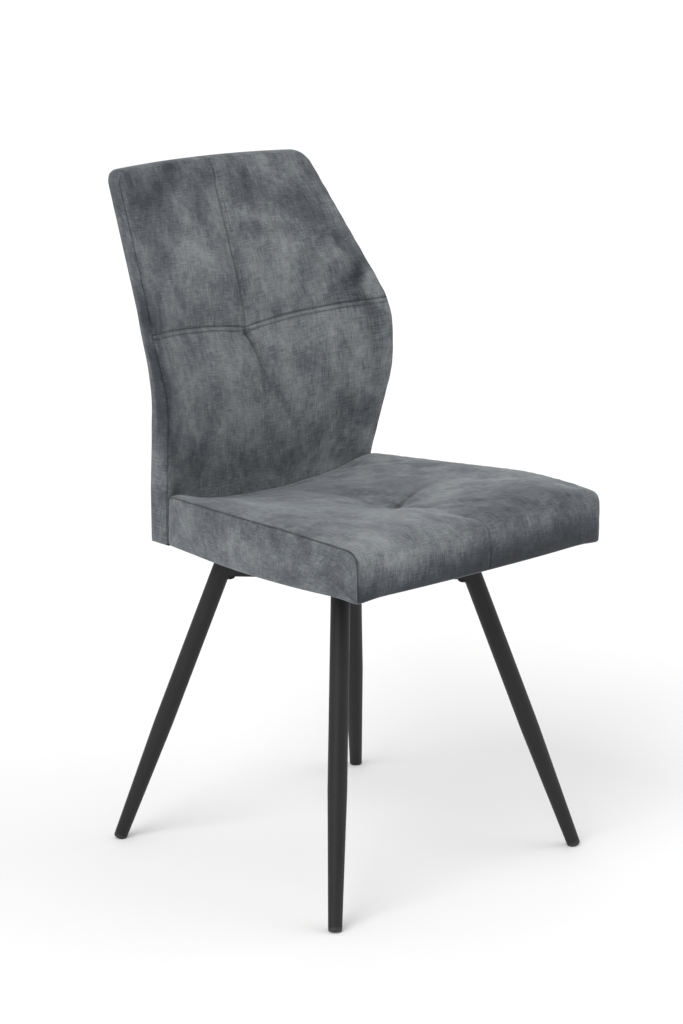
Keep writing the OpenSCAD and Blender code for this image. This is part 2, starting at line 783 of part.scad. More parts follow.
module back_board() {
    color("#c8a878") difference() {
        slab(shell_rows(back_board_thickness), shell_rows(0));
        for (p = back_bolts_at) at_back_bolt(p)
            translate([0, 0, bracket_thickness + back_board_thickness - flange_thickness]) {
                cylinder(r = flange_diameter / 2 + nut_clearance, h = far);
                translate([0, 0, -far])
                    cylinder(r = barrel_diameter / 2 + nut_clearance, h = far + 1);
            }
        back_tie_bore();
    }
}

module back_foam_front() {
    color("#e6dcb8") difference() {
        slab(back_rows(0, rows, cover, undef, cover), shell_rows(back_board_thickness));
        back_tie_bore();
    }
}

module back_foam_rear() {
    pocket = head_height + unit_gap;
    color("#e6dcb8") difference() {
        slab(shell_rows(0), back_rows(0, rows, undef, cover, cover));
        for (side = [-1, 1]) bracket_bar(side, unit_gap);
        for (p = back_bolts_at) at_back_bolt(p)
            translate([0, 0, -pocket]) cylinder(r = head_radius + unit_gap, h = 3 * pocket);
        translate([-toggle_length / 2 - toggle_gap, front_y + tie_rear, tuft_height])
            rotate([0, 90, 0])
                cylinder(r = toggle_radius + toggle_gap, h = toggle_length + 2 * toggle_gap);
    }
}

// The cord that pulls the back's tuft in, with its toggle behind the shell
tie_front = back_face(0, tuft_height) + cover + 1;
tie_rear = back_face(0, tuft_height) + back_thickness(tuft_height) - cover - rear_pad
    + toggle_radius / cos(back_lean);
module back_tie_bore() {
    translate([0, front_y, tuft_height]) rotate([-90, 0, 0])
        cylinder(r = tie_radius + tie_clearance, h = 2 * far);
}
module back_tuft_tie() {
    color("#d8d4c8") translate([0, front_y, tuft_height]) {
        translate([0, tie_front, 0]) rotate([-90, 0, 0])
            cylinder(r = tie_radius, h = tie_rear - tie_front);
        translate([-toggle_length / 2, tie_rear, 0]) rotate([0, 90, 0])
            cylinder(r = toggle_radius, h = toggle_length);
    }
}

module leg_front_left() { leg(1, -1); }
module leg_front_right() { leg(-1, -1); }
module leg_rear_left() { leg(1, 1); }
module leg_rear_right() { leg(-1, 1); }
module glide_front_left() { glide(1, -1); }
module glide_front_right() { glide(-1, -1); }
module glide_rear_left() { glide(1, 1); }
module glide_rear_right() { glide(-1, 1); }
module cross_bar_front_right() { cross_bar_half(-1, -1); }
module cross_bar_rear_left() { cross_bar_half(1, 1); }
module mount_plate_front_left() { mount_plate(1, -1); }
module mount_plate_front_right() { mount_plate(-1, -1); }
module mount_plate_rear_left() { mount_plate(1, 1); }
module mount_plate_rear_right() { mount_plate(-1, 1); }
module spacer_front_left() { spacer(1, -1); }
module spacer_front_right() { spacer(-1, -1); }
module spacer_rear_left() { spacer(1, 1); }
module spacer_rear_right() { spacer(-1, 1); }
module seat_band_left() { seat_band(1); }
module seat_band_right() { seat_band(-1); }
module back_panel_upper_left() { upper_panel(columns / 2, columns); }
module back_panel_upper_right() { upper_panel(0, columns / 2); }
module back_panel_lower_left() { lower_panel(columns / 2, columns); }
module back_panel_lower_right() { lower_panel(0, columns / 2); }
module back_band_left() { back_band(1); }
module back_band_right() { back_band(-1); }
module bracket_left() { bracket(1); }
module bracket_right() { bracket(-1); }

leg_front_left();
leg_front_right();
leg_rear_left();
leg_rear_right();
glide_front_left();
glide_front_right();
glide_rear_left();
glide_rear_right();
cross_bar_long();
cross_bar_front_right();
cross_bar_rear_left();
weld_beads();
mount_plate_front_left();
mount_plate_front_right();
mount_plate_rear_left();
mount_plate_rear_right();
spacer_front_left();
spacer_front_right();
spacer_rear_left();
spacer_rear_right();
frame_bolts();
frame_washers();
seat_board();
seat_tee_nuts();
seat_foam();
seat_cover_top();
seat_band_left();
seat_band_right();
seat_hem_strip();
seat_dust_cover();
staples();
seat_tuft_tie();
back_board();
back_foam_front();
back_foam_rear();
back_panel_upper_left();
back_panel_upper_right();
back_panel_lower_left();
back_panel_lower_right();
back_band_left();
back_band_right();
back_cover_rear();
back_bottom_cover();
back_tuft_tie();
back_tee_nuts();
bracket_left();
bracket_right();
bracket_seat_bolts();
bracket_back_bolts();
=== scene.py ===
"""Upholstered dining chair: the visible cushions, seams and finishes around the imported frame.

Lengths in the dataclasses are millimetres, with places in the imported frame's own axes: +Z up, the
sitter facing -Y and the sitter's left at +X. A place along the seat is counted from its front.
"""

import json
import logging
import math
from dataclasses import dataclass
from enum import Enum

import bmesh
import bpy
import numpy as np
from mathutils import Matrix, Vector
from mathutils.bvhtree import BVHTree


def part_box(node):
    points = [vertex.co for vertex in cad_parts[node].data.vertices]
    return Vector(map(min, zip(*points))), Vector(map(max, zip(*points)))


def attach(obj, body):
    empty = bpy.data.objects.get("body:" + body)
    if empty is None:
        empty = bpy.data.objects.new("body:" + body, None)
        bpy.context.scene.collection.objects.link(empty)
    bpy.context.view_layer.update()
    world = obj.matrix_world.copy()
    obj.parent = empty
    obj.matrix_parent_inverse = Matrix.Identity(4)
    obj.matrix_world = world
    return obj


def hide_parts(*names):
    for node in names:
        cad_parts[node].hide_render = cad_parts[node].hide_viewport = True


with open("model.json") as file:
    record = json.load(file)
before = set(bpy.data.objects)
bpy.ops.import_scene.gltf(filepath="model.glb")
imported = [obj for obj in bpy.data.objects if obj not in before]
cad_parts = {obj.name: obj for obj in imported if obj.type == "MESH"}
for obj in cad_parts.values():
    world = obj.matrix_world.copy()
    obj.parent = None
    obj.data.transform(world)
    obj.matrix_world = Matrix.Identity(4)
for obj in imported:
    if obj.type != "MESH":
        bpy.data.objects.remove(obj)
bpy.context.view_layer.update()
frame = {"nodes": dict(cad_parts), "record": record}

MM = 0.001
BODY = "root"
# Grid coordinates that differ by less than this are the same
SAME = 0.001

Array = np.ndarray
Colour = tuple[float, float, float]
Point = tuple[float, float]
Socket = bpy.types.NodeSocket

log = logging.getLogger("chair")


# Curves and profiles -----------------------------------------------------------------------------


def mix(a: Array | float, b: Array | float, t: Array | float) -> Array | float:
    """Returns the value a share t of the way from a to b."""
    return a + (b - a) * t


def ease(t: Array) -> Array:
    """Returns t held to 0..1 and eased at both ends."""
    held = np.clip(t, 0.0, 1.0)
    return held * held * (3.0 - 2.0 * held)


def smooth_max(a: Array, b: Array, rounding: float) -> Array:
    """Returns the larger of a and b, rounded where they cross."""
    return np.maximum(a, b) + np.maximum(0.0, rounding - np.abs(a - b)) ** 2 / (4.0 * rounding)


def smooth_min(a: Array, b: Array | float, rounding: float) -> Array:
    """Returns the smaller of a and b, rounded where they cross."""
    return np.minimum(a, b) - np.maximum(0.0, rounding - np.abs(a - b)) ** 2 / (4.0 * rounding)


def ridge(distance: Array, width: float) -> Array:
    """Returns a bell of height 1 over distance 0, which has fallen to about a third at width."""
    return np.exp(-((distance / width) ** 2))


def round_corner(a: Array, b: Array, radius: float) -> tuple[Array, Array]:
    """Rounds the corner between two faces.

    Args:
        a: Distance of each point from the first face.
        b: Distance of each point from the second face.
        radius: Radius of the rounding.

    Returns:
        The two distances after the square corner has been drawn in to a round one.
    """
    p = np.clip(1.0 - a / radius, 0.0, 1.0)
    q = np.clip(1.0 - b / radius, 0.0, 1.0)
    near = (p > 0.0) & (q > 0.0)
    round_a = radius * (1.0 - p * np.sqrt(1.0 - q * q / 2.0))
    round_b = radius * (1.0 - q * np.sqrt(1.0 - p * p / 2.0))
    return np.where(near, round_a, a), np.where(near, round_b, b)


def graded(start: float, end: float, pitch: float, lines: tuple[float, ...]) -> Array:
    """Spaces mesh lines evenly, and closer together beside each seam.

    Args:
        start: First position.
        end: Last position.
        pitch: Widest spacing between two lines.
        lines: Positions of the seams.

    Returns:
        The sorted positions.
    """
    crowd = (-4.6, -2.6, -1.1, 0.0, 1.1, 2.6, 4.6)
    near = {start, end} | {line + step for line in lines for step in crowd}
    kept = [start]
    for position in sorted(near):
        on_line = min((abs(position - line) for line in (*lines, end)), default=9.0) < 1e-6
        if start < position <= end and (position - kept[-1] > 0.7 or on_line):
            kept.append(position)
    spaced = [start]
    for low, high in zip(kept, kept[1:]):
        count = max(1, math.ceil((high - low) / pitch))
        spaced += [mix(low, high, k / count) for k in range(1, count + 1)]
    return np.array(spaced)


class Wander:
    """A slow, smooth, repeatable wandering of a value over a surface."""

    def __init__(self, seed: int, wavelength: float, waves: int = 14) -> None:
        """Draws the waves.

        Args:
            seed: Seed of the draw.
            wavelength: Middle wavelength, in the unit of the points.
            waves: Number of waves that are added up.
        """
        draw = np.random.default_rng(seed)
        turn = draw.uniform(0.0, 2.0 * math.pi, waves)
        pace = 2.0 * math.pi / (wavelength * draw.uniform(0.6, 1.7, waves))
        self.across, self.along = pace * np.cos(turn), pace * np.sin(turn)
        self.phase = draw.uniform(0.0, 2.0 * math.pi, waves)

    def at(self, a: Array, b: Array) -> Array:
        """Returns the value at the points (a, b), mostly between -1 and 1."""
        total = sum(
            np.sin(x * a + y * b + p) for x, y, p in zip(self.across, self.along, self.phase)
        )
        return total / math.sqrt(len(self.phase))


@dataclass(frozen=True)
class Fold:
    """A soft fold of the cloth along a straight line on a panel, with painted shade in its valley.
    """

    start: Point
    end: Point
    depth: float
    width: float
    lip: float = 0.5
    # Painted shade in the valley: how far its colour is darkened, 0 for none
    shade: float = 0.0

    def press(self, a: Array, b: Array) -> tuple[Array, Array]:
        """Works out how the fold moves the cloth, and the shade painted in its valley.

        Args:
            a: First panel coordinate of each point.
            b: Second panel coordinate of each point.

        Returns:
            The height of each point, with a valley along the line and a lip on its left side, and
            the painted shade in its valley.
        """
        run = np.array(self.end) - np.array(self.start)
        length = float(np.hypot(*run))
        run = run / length
        along = (a - self.start[0]) * run[0] + (b - self.start[1]) * run[1]
        aside = (b - self.start[1]) * run[0] - (a - self.start[0]) * run[1]
        share = np.clip(along / length, 0.0, 1.0)
        past = np.maximum(0.0, np.abs(along - length / 2.0) - length / 2.0)
        strength = (1.0 - 0.75 * share) * ridge(past, self.width)
        valley = ridge(aside, self.width)
        raised = ridge(aside - 2.0 * self.width, 1.3 * self.width)
        # Painted shade, darkest along the valley's floor
        dark = self.shade * strength * ridge(aside, 0.7 * self.width)
        return self.depth * strength * (self.lip * raised - valley), dark


@dataclass(frozen=True)
class Patch:
    """A soft patch painted lighter, or darker when its shade is negative: brushed pile, and on the
    back's wings painted shade.
    """

    centre: Point
    size: Point
    shade: float

    def at(self, a: Array, b: Array) -> Array:
        """Returns the patch's shade at the panel points (a, b)."""
        return self.shade * (ridge(a - self.centre[0], self.size[0])
                             * ridge(b - self.centre[1], self.size[1]))


@dataclass
class Relief:
    """What is carved into a cushion at each of its points."""

    height: Array
    # Painted shade, 0 to 1, along the seams, in the tufts and in the folds' valleys
    seam: Array
    # Tone of the pile, with painted shade in some patches and down the seat's front face
    nap_and_painted_shade: Array


# Finishes ----------------------------------------------------------------------------------------


class Shader:
    """A node material under construction."""

    def __init__(self, name: str) -> None:
        """Starts a material with one Principled shader.

        Args:
            name: Name of the material.
        """
        self.material = bpy.data.materials.new(name)
        self.material.use_nodes = True
        self.tree = self.material.node_tree
        self.surface = self.tree.nodes["Principled BSDF"]

    def add(self, kind: str, inputs: dict | None = None, **settings) -> bpy.types.Node:
        """Adds a node.

        Args:
            kind: Blender's name of the node type, without "ShaderNode".
            inputs: Socket name or number to a constant or to an output socket.
            **settings: Properties of the node.

        Returns:
            The new node.
        """
        node = self.tree.nodes.new("ShaderNode" + kind)
        for key, value in settings.items():
            setattr(node, key, value)
        self.feed(node, inputs or {})
        return node

    def feed(self, node: bpy.types.Node, inputs: dict) -> None:
        """Sets or links a node's inputs, which are given as in add()."""
        for key, value in inputs.items():
            if isinstance(value, bpy.types.NodeSocket):
                self.tree.links.new(value, node.inputs[key])
            else:
                node.inputs[key].default_value = value

    def coordinates(self, scale: tuple[float, float, float], uv: bool = False) -> Socket:
        """Places a pattern.

        Args:
            scale: Cells of the pattern in a metre, along each axis.
            uv: True for the piece's own cloth map, False for Object coordinates.

        Returns:
            The vector output.
        """
        if uv:
            source = self.add("UVMap", uv_map="cloth").outputs["UV"]
        else:
            source = self.add("TexCoord").outputs["Object"]
        return self.add("Mapping", {"Vector": source, "Scale": scale}).outputs["Vector"]

    def noise(self, vector: Socket, scale: float = 1.0, detail: float = 2.0,
              roughness: float = 0.5, distortion: float = 0.0) -> Socket:
        """Returns the value output of a noise texture."""
        return self.add("TexNoise", {
            "Vector": vector, "Scale": scale, "Detail": detail,
            "Roughness": roughness, "Distortion": distortion,
        }).outputs[0]

    def math(self, operation: str, a: Socket | float, b: Socket | float = 0.5,
             c: Socket | float = 0.5) -> Socket:
        """Returns the output of a Math node."""
        return self.add("Math", {0: a, 1: b, 2: c}, operation=operation).outputs[0]

    def spread(self, value: Socket, low: float, high: float, to_low: float = 0.0,
               to_high: float = 1.0) -> Socket:
        """Returns value with low..high spread over to_low..to_high, and held there."""
        return self.add("MapRange", {
            "Value": value, "From Min": low, "From Max": high, "To Min": to_low, "To Max": to_high,
        }).outputs["Result"]

    def ramp(self, value: Socket, stops: list[tuple[float, Colour]]) -> Socket:
        """Returns the colour output of a colour ramp with the given stops."""
        node = self.add("ValToRGB", {"Fac": value})
        elements = node.color_ramp.elements
        while len(elements) < len(stops):
            elements.new(0.5)
        for element, (position, colour) in zip(elements, stops):
            element.position = position
            element.color = (*colour, 1.0)
        return node.outputs["Color"]

    def blend(self, factor: Socket | float, a: Socket, b: Socket | tuple,
              kind: str = "MIX") -> Socket:
        """Returns the colour output of a Mix node."""
        node = self.add("Mix", data_type="RGBA", blend_type=kind)
        self.feed(node, {0: factor, 6: a, 7: b})
        return node.outputs[2]

    def bump(self, height: Socket, distance: float, strength: float = 1.0,
             under: Socket | None = None) -> Socket:
        """Returns the normal output of a Bump node, on top of the given normal if there is one."""
        node = self.add("Bump", {"Height": height, "Distance": distance, "Strength": strength})
        if under is not None:
            self.feed(node, {"Normal": under})
        return node.outputs["Normal"]

    def finish(self, inputs: dict) -> bpy.types.Material:
        """Feeds the Principled shader and returns the material."""
        self.feed(self.surface, inputs)
        return self.material


@dataclass(frozen=True)
class MottledVelvet:
    """A short-pile velvet with a cloudy, rubbed look over a linen-like ground weave."""

    deep: Colour = (0.018, 0.020, 0.024)
    dark: Colour = (0.041, 0.046, 0.053)
    middle: Colour = (0.091, 0.100, 0.109)
    light: Colour = (0.184, 0.198, 0.207)
    pale: Colour = (0.260, 0.275, 0.284)
    thread: float = 1.3
    thread_run: float = 19.0

    def build(self) -> bpy.types.Material:
        """Builds the cloth's material.

        Returns:
            The material. It reads the cushion's "cloth" map, its "seam" attribute of painted shade,
            and its attribute of pile tone with painted shade.
        """
        s = Shader("mottled_velvet")
        clouds = s.noise(s.coordinates((13.0, 13.0, 13.0)), detail=3.0, roughness=0.55,
                         distortion=0.9)
        smears = s.noise(s.coordinates((30.0, 17.0, 1.0), uv=True), detail=4.0, roughness=0.62,
                         distortion=0.5)
        specks = s.noise(s.coordinates((120.0, 85.0, 1.0), uv=True), detail=5.0, roughness=0.75)
        fine, long = 1.0 / (self.thread * MM), 1.0 / (self.thread_run * MM)
        warp = s.noise(s.coordinates((fine, long, 1.0), uv=True), detail=2.0, roughness=0.6)
        weft = s.noise(s.coordinates((long, fine, 1.0), uv=True), detail=2.0, roughness=0.6)
        threads = s.math("ADD", warp, weft)
        cloudy = s.math("MULTIPLY_ADD", clouds, 0.36, s.math("MULTIPLY", smears, 0.36))
        rubbed = s.math("MULTIPLY_ADD", specks, 0.28, cloudy)
        rubbed = s.math("MULTIPLY_ADD", s.math("SUBTRACT", threads, 1.0), 0.34, rubbed)
        # Pile tone from the cushion's attribute, which also holds painted shade: dark strips on the
        # back's wings and the seat's darker front face
        nap_and_painted_shade = s.add("Attribute", attribute_name="nap_and_painted_shade").outputs["Fac"]
        rubbed = s.math("MULTIPLY_ADD", nap_and_painted_shade, 0.115, rubbed)
        colour = s.ramp(rubbed, [(0.15, self.deep), (0.35, self.dark), (0.50, self.middle),
                                 (0.67, self.light), (0.84, self.pale)])
        # Painted shade: the colour is multiplied darker along the seams, in the tufts and in the
        # folds' valleys
        seam = s.add("Attribute", attribute_name="seam").outputs["Fac"]
        shade = s.math("MULTIPLY_ADD", seam, -0.78, 1.0)
        painted_shade_grey = s.add("CombineColor", {0: shade, 1: shade, 2: shade}).outputs[0]
        colour = s.blend(1.0, colour, painted_shade_grey, "MULTIPLY")
        pile = s.noise(s.coordinates((900.0, 900.0, 900.0)), detail=1.0)
        under = s.bump(pile, 0.0002, 0.5)
        normal = s.bump(threads, 0.0004, 0.55, under)
        return s.finish({
            "Base Color": colour,
            "Roughness": s.spread(rubbed, 0.35, 0.7, 0.95, 0.72),
            "Specular IOR Level": 0.22,
            "Sheen Weight": 0.35,
            "Sheen Roughness": 0.45,
            "Sheen Tint": (0.62, 0.66, 0.70, 1.0),
            "Normal": normal,
        })


@dataclass(frozen=True)
class PowderCoat:
    """Matt black powder coat with its fine orange-peel grain, rubbed lighter here and there."""

    colour: Colour = (0.010, 0.010, 0.011)
    worn: Colour = (0.016, 0.016, 0.018)
    roughness: float = 0.52

    def build(self) -> bpy.types.Material:
        """Builds the material of the legs, bars, plates and brackets."""
        s = Shader("powder_coat_black")
        grain = s.noise(s.coordinates((1300.0, 1300.0, 1300.0)), detail=2.0)
        patches = s.noise(s.coordinates((28.0, 28.0, 9.0)), detail=4.0, roughness=0.6)
        return s.finish({
            "Base Color": s.ramp(patches, [(0.3, self.colour), (0.75, self.worn)]),
            "Roughness": s.spread(patches, 0.3, 0.7, self.roughness - 0.05, self.roughness + 0.07),
            "Specular IOR Level": 0.3,
            "Normal": s.bump(grain, 0.00006, 0.6),
        })


@dataclass(frozen=True)
class Speckled:
    """A plain hard finish whose colour, gloss and grain all vary a little."""

    name: str
    low: Colour
    high: Colour
    roughness: float
    grain: tuple[float, float, float]
    metallic: float = 0.0
    relief: float = 0.05

    def build(self) -> bpy.types.Material:
        """Builds the material."""
        s = Shader(self.name)
        grain = s.noise(s.coordinates(self.grain), detail=5.0, roughness=0.65)
        return s.finish({
            "Base Color": s.ramp(grain, [(0.32, self.low), (0.68, self.high)]),
            "Roughness": s.spread(grain, 0.3, 0.7, self.roughness - 0.06, self.roughness + 0.06),
            "Metallic": self.metallic,
            "Normal": s.bump(grain, self.relief * MM, 0.8),
        })


@dataclass(frozen=True)
class Plywood:
    """Raw plywood: streaked face grain, and dark glue lines between the plies on an edge."""

    pale: Colour = (0.55, 0.38, 0.21)
    dark: Colour = (0.30, 0.18, 0.09)
    ply: float = 1.5

    def build(self) -> bpy.types.Material:
        """Builds the material of the two boards."""
        s = Shader("raw_plywood")
        streaks = s.noise(s.coordinates((160.0, 7.0, 60.0)), detail=5.0, roughness=0.6)
        lines = s.add("TexWave", {
            "Vector": s.coordinates((1.0, 1.0, 1.0)), "Scale": 0.31 / (self.ply * MM),
            "Distortion": 0.6,
        }, bands_direction="Z").outputs["Fac"]
        face = s.ramp(streaks, [(0.3, self.dark), (0.62, self.pale)])
        return s.finish({
            "Base Color": s.blend(
                s.spread(lines, 0.86, 1.0, 0.0, 0.5), face, (0.16, 0.09, 0.05, 1.0)),
            "Roughness": s.spread(streaks, 0.3, 0.7, 0.62, 0.8),
            "Normal": s.bump(streaks, 0.00012, 0.6),
        })


@dataclass(frozen=True)
class Nonwoven:
    """Thin black spun-bonded cloth with its pressed diamond pattern."""

    colour: Colour = (0.012, 0.012, 0.013)
    pale: Colour = (0.030, 0.030, 0.032)
    diamond: float = 1.6

    def build(self) -> bpy.types.Material:
        """Builds the material of the dust cover, the hem strip and the back's bottom cover."""
        s = Shader("black_nonwoven_cloth")
        fibres = s.noise(s.coordinates((420.0, 420.0, 420.0)), detail=4.0, roughness=0.7)
        turned = s.add("Mapping", {
            "Vector": s.add("TexCoord").outputs["Object"], "Rotation": (0.0, 0.0, math.pi / 4.0),
        }).outputs["Vector"]
        cells = s.add("TexVoronoi", {
            "Vector": turned, "Scale": 1.0 / (self.diamond * MM), "Randomness": 0.0,
        }).outputs["Distance"]
        mixed = s.math("MULTIPLY_ADD", cells, 0.6, s.math("MULTIPLY", fibres, 0.5))
        return s.finish({
            "Base Color": s.ramp(mixed, [(0.2, self.colour), (0.8, self.pale)]),
            "Roughness": s.spread(fibres, 0.3, 0.7, 0.8, 0.95),
            "Specular IOR Level": 0.25,
            "Normal": s.bump(mixed, 0.0002, 0.7),
        })


@dataclass(frozen=True)
class TwistedCord:
    """Twisted cord or sewing thread, with the lay of its strands."""

    name: str
    dark: Colour
    light: Colour
    strand: float = 0.5

    def build(self) -> bpy.types.Material:
        """Builds the material."""
        s = Shader(self.name)
        lay = s.add("TexWave", {
            "Vector": s.coordinates((1.0, 1.0, 1.0)), "Scale": 0.31 / (self.strand * MM),
            "Distortion": 1.5, "Detail": 2.0,
        }, bands_direction="DIAGONAL").outputs["Fac"]
        return s.finish({
            "Base Color": s.ramp(lay, [(0.1, self.dark), (0.9, self.light)]),
            "Roughness": s.spread(lay, 0.0, 1.0, 0.85, 0.65),
            "Sheen Weight": 0.2,
            "Normal": s.bump(lay, 0.0001, 0.8),
        })


class Finishes:
    """Every material of the chair, by the record's slot name."""

    def __init__(self) -> None:
        """Builds the materials."""
        self.by_slot = {
            "grey_fabric": MottledVelvet().build(),
            "powder_coat": PowderCoat().build(),
            "black_plastic": Speckled("moulded_black_plastic", (0.014, 0.014, 0.015),
                                      (0.022, 0.022, 0.024), 0.55, (700.0, 700.0, 700.0)).build(),
            "black_steel": Speckled("blackened_steel", (0.02, 0.02, 0.022), (0.045, 0.045, 0.05),
                                    0.42, (260.0, 260.0, 260.0), metallic=0.8).build(),
            "zinc_steel": Speckled("zinc_plated_steel", (0.42, 0.43, 0.45), (0.62, 0.63, 0.66),
                                   0.34, (180.0, 180.0, 180.0), metallic=1.0).build(),
            "plywood": Plywood().build(),
            "foam": Speckled("open_cell_foam", (0.58, 0.50, 0.27), (0.80, 0.72, 0.45), 0.9,
                             (650.0, 650.0, 650.0), relief=0.5).build(),
            "black_nonwoven": Nonwoven().build(),
            "tie_cord": TwistedCord("tie_cord_twisted", (0.42, 0.39, 0.33),
                                    (0.68, 0.65, 0.58)).build(),
        }
        self.thread = TwistedCord("seam_thread", (0.022, 0.025, 0.028), (0.058, 0.064, 0.07),
                                  0.3).build()

    def dress_frame(self) -> None:
        """Gives every carried-over CAD node the material of its slot."""
        for entry in frame["record"]["subparts"]:
            node = frame["nodes"].get(entry["node"])
            if node is None:
                continue
            finish = self.by_slot[entry["material_slot"]]
            if not node.material_slots:
                node.data.materials.append(finish)
            for holder in node.material_slots:
                holder.material = finish


# Cushions ----------------------------------------------------------------------------------------


class Side(Enum):
    """The six panels of a cushion, by the grid coordinate that they hold still and its value."""

    FACE = ("w", 0.0)
    REAR = ("w", 1.0)
    LEFT = ("u", 1.0)
    RIGHT = ("u", -1.0)
    END = ("r", 1.0)
    START = ("r", 0.0)


@dataclass
class Cushion:
    """A closed padded form over a grid with u across, r along and w from its face to its rear.

    Each cushion's own class says where a grid point lies and how its seams and folds are carved.
    """

    name: str = "cushion"
    # Spacing of the mesh, and how the padding swells: frames, pressure, stiffness against stretch
    # and bending, and the furthest move
    pitch: float = 4.4
    frames: int = 20
    pressure: float = 8.0
    stiffness: float = 5.0
    bending: float = 0.5
    swell: float = 7.0
    # How far the patches of brushed pile and painted shade wander, the width of a seam, and the
    # powers of |u| that shape the bands' bellies and the wings
    drift: float = 8.0
    seam_width: float = 1.2
    band_power: float = 24.0
    wing_power: float = 2.2
    # The grid: half the width, the band's width, the profile's length and the seams across it
    reach: float = 200.0
    thickness: float = 30.0
    length: float = 500.0
    cross_lines: tuple[float, ...] = ()

    def surface(self, u: Array, r: Array, w: Array) -> tuple[Array, Array, Array]:
        """Says where the grid points lie before the padding swells.

        Args:
            u: Grid coordinate across, -1 to 1.
            r: Grid coordinate along, in mm.
            w: Grid coordinate through, 0 on the face to 1 on the rear.

        Returns:
            Their x, y and z in mm.
        """
        raise NotImplementedError

    def pins(self, u: Array, r: Array, w: Array) -> Array:
        """Says how firmly the grid points are held while the cushion swells.

        Args:
            u: Grid coordinate across.
            r: Grid coordinate along.
            w: Grid coordinate through.

        Returns:
            Their hold, from 0 for free to 1 for fixed.
        """
        raise NotImplementedError

    def carve(self, u: Array, r: Array, w: Array, points: Array) -> Relief:
        """Says how seams, tufts and folds shape the swollen cushion, and the shade painted into its
        colour.

        Args:
            u: Grid coordinate across.
            r: Grid coordinate along.
            w: Grid coordinate through.
            points: The swollen points in mm.

        Returns:
            The height to add along the normals, the shade painted along seams, tufts and folds, and
            the pile's tone with its painted shade.
        """
        raise NotImplementedError

    def folds(self) -> list[Fold]:
        """Returns the folds of the front panels."""
        raise NotImplementedError

    def pile_and_shade_patches(self) -> list[Patch]:
        """Returns the patches of brushed pile and painted shade on the front panels."""
        raise NotImplementedError

    def crumple(self, a: Array, b: Array) -> Relief:
        """Adds up the folds, with the shade painted in their valleys, and the patches of pile and
        painted shade.

        Args:
            a: First panel coordinate of each point.
            b: Second panel coordinate of each point.

        Returns:
            Their relief.
        """
        drift = self.drift * Wander(14, 60.0).at(a, b)
        relief = Relief(0.0 * a, 0.0 * a, sum(p.at(a + drift, b - drift) for p in self.pile_and_shade_patches()))
        for fold in self.folds():
            height, dark = fold.press(a, b)
            relief.height = relief.height + height
            relief.seam = np.maximum(relief.seam, dark)
        return relief

    def lines(self) -> tuple[Array, Array, Array]:
        """Returns the grid lines: u from -1 to 1, r in mm, and w from 0 to 1."""
        across = graded(-self.reach, self.reach, self.pitch, (-self.reach, 0.0, self.reach))
        along = graded(0.0, self.length, self.pitch, (0.0, *self.cross_lines, self.length))
        through = graded(0.0, self.thickness, self.pitch, (0.0, self.thickness))
        return across / self.reach, along, through / self.thickness

    def shell(self) -> bmesh.types.BMesh:
        """Sews six grids into one closed form.

        Returns:
            The form, its points still at their grid coordinates (u, r, w), with its cloth map.
        """
        across, along, through = self.lines()
        apart = (0.37, 0.53)  # metres from one panel to the next in the cloth map
        form = bmesh.new()
        cloth = form.loops.layers.uv.new("cloth")
        for number, side in enumerate(Side):
            held, value = side.value
            value = value * self.length if held == "r" else value
            columns, rows = {
                "w": (across, along), "u": (through, along), "r": (across, through),
            }[held]
            made = bmesh.ops.create_grid(
                form, x_segments=len(columns) - 1, y_segments=len(rows) - 1, size=1.0)
            spots = {}
            for vertex in made["verts"]:
                i = round((vertex.co.x + 1.0) / 2.0 * (len(columns) - 1))
                j = round((vertex.co.y + 1.0) / 2.0 * (len(rows) - 1))
                a, b = columns[i], rows[j]
                spots[vertex] = (
                    a * (self.thickness if held == "u" else self.reach) * MM + apart[0] * number,
                    b * (self.thickness if held == "r" else 1.0) * MM + apart[1] * number,
                )
                vertex.co = {"w": (a, b, value), "u": (value, b, a), "r": (a, value, b)}[held]
            for face in {face for vertex in made["verts"] for face in vertex.link_faces}:
                for loop in face.loops:
                    loop[cloth].uv = spots[loop.vert]
        bmesh.ops.remove_doubles(form, verts=form.verts, dist=SAME)
        return form

    def build(self, finish: bpy.types.Material) -> bpy.types.Object:
        """Builds the cushion: its form, its swelling, and its seams and folds.

        Args:
            finish: The cloth's material.

        Returns:
            The finished object.
        """
        form = self.shell()
        grid = np.array([vertex.co for vertex in form.verts])
        u, r, w = grid.T
        points = np.stack(self.surface(u, r, w), axis=1)
        for vertex, place in zip(form.verts, points * MM):
            vertex.co = place
        form.normal_update()
        bmesh.ops.recalc_face_normals(form, faces=form.faces)
        mesh = bpy.data.meshes.new(self.name)
        form.to_mesh(mesh)
        form.free()
        mesh.shade_smooth()
        mesh.materials.append(finish)
        piece = bpy.data.objects.new(self.name, mesh)
        bpy.context.scene.collection.objects.link(piece)
        self.inflate(piece, self.pins(u, r, w))
        self.press(piece, u, r, w)
        smooth = piece.modifiers.new("subdivision", "SUBSURF")
        smooth.levels = smooth.render_levels = 1
        return piece

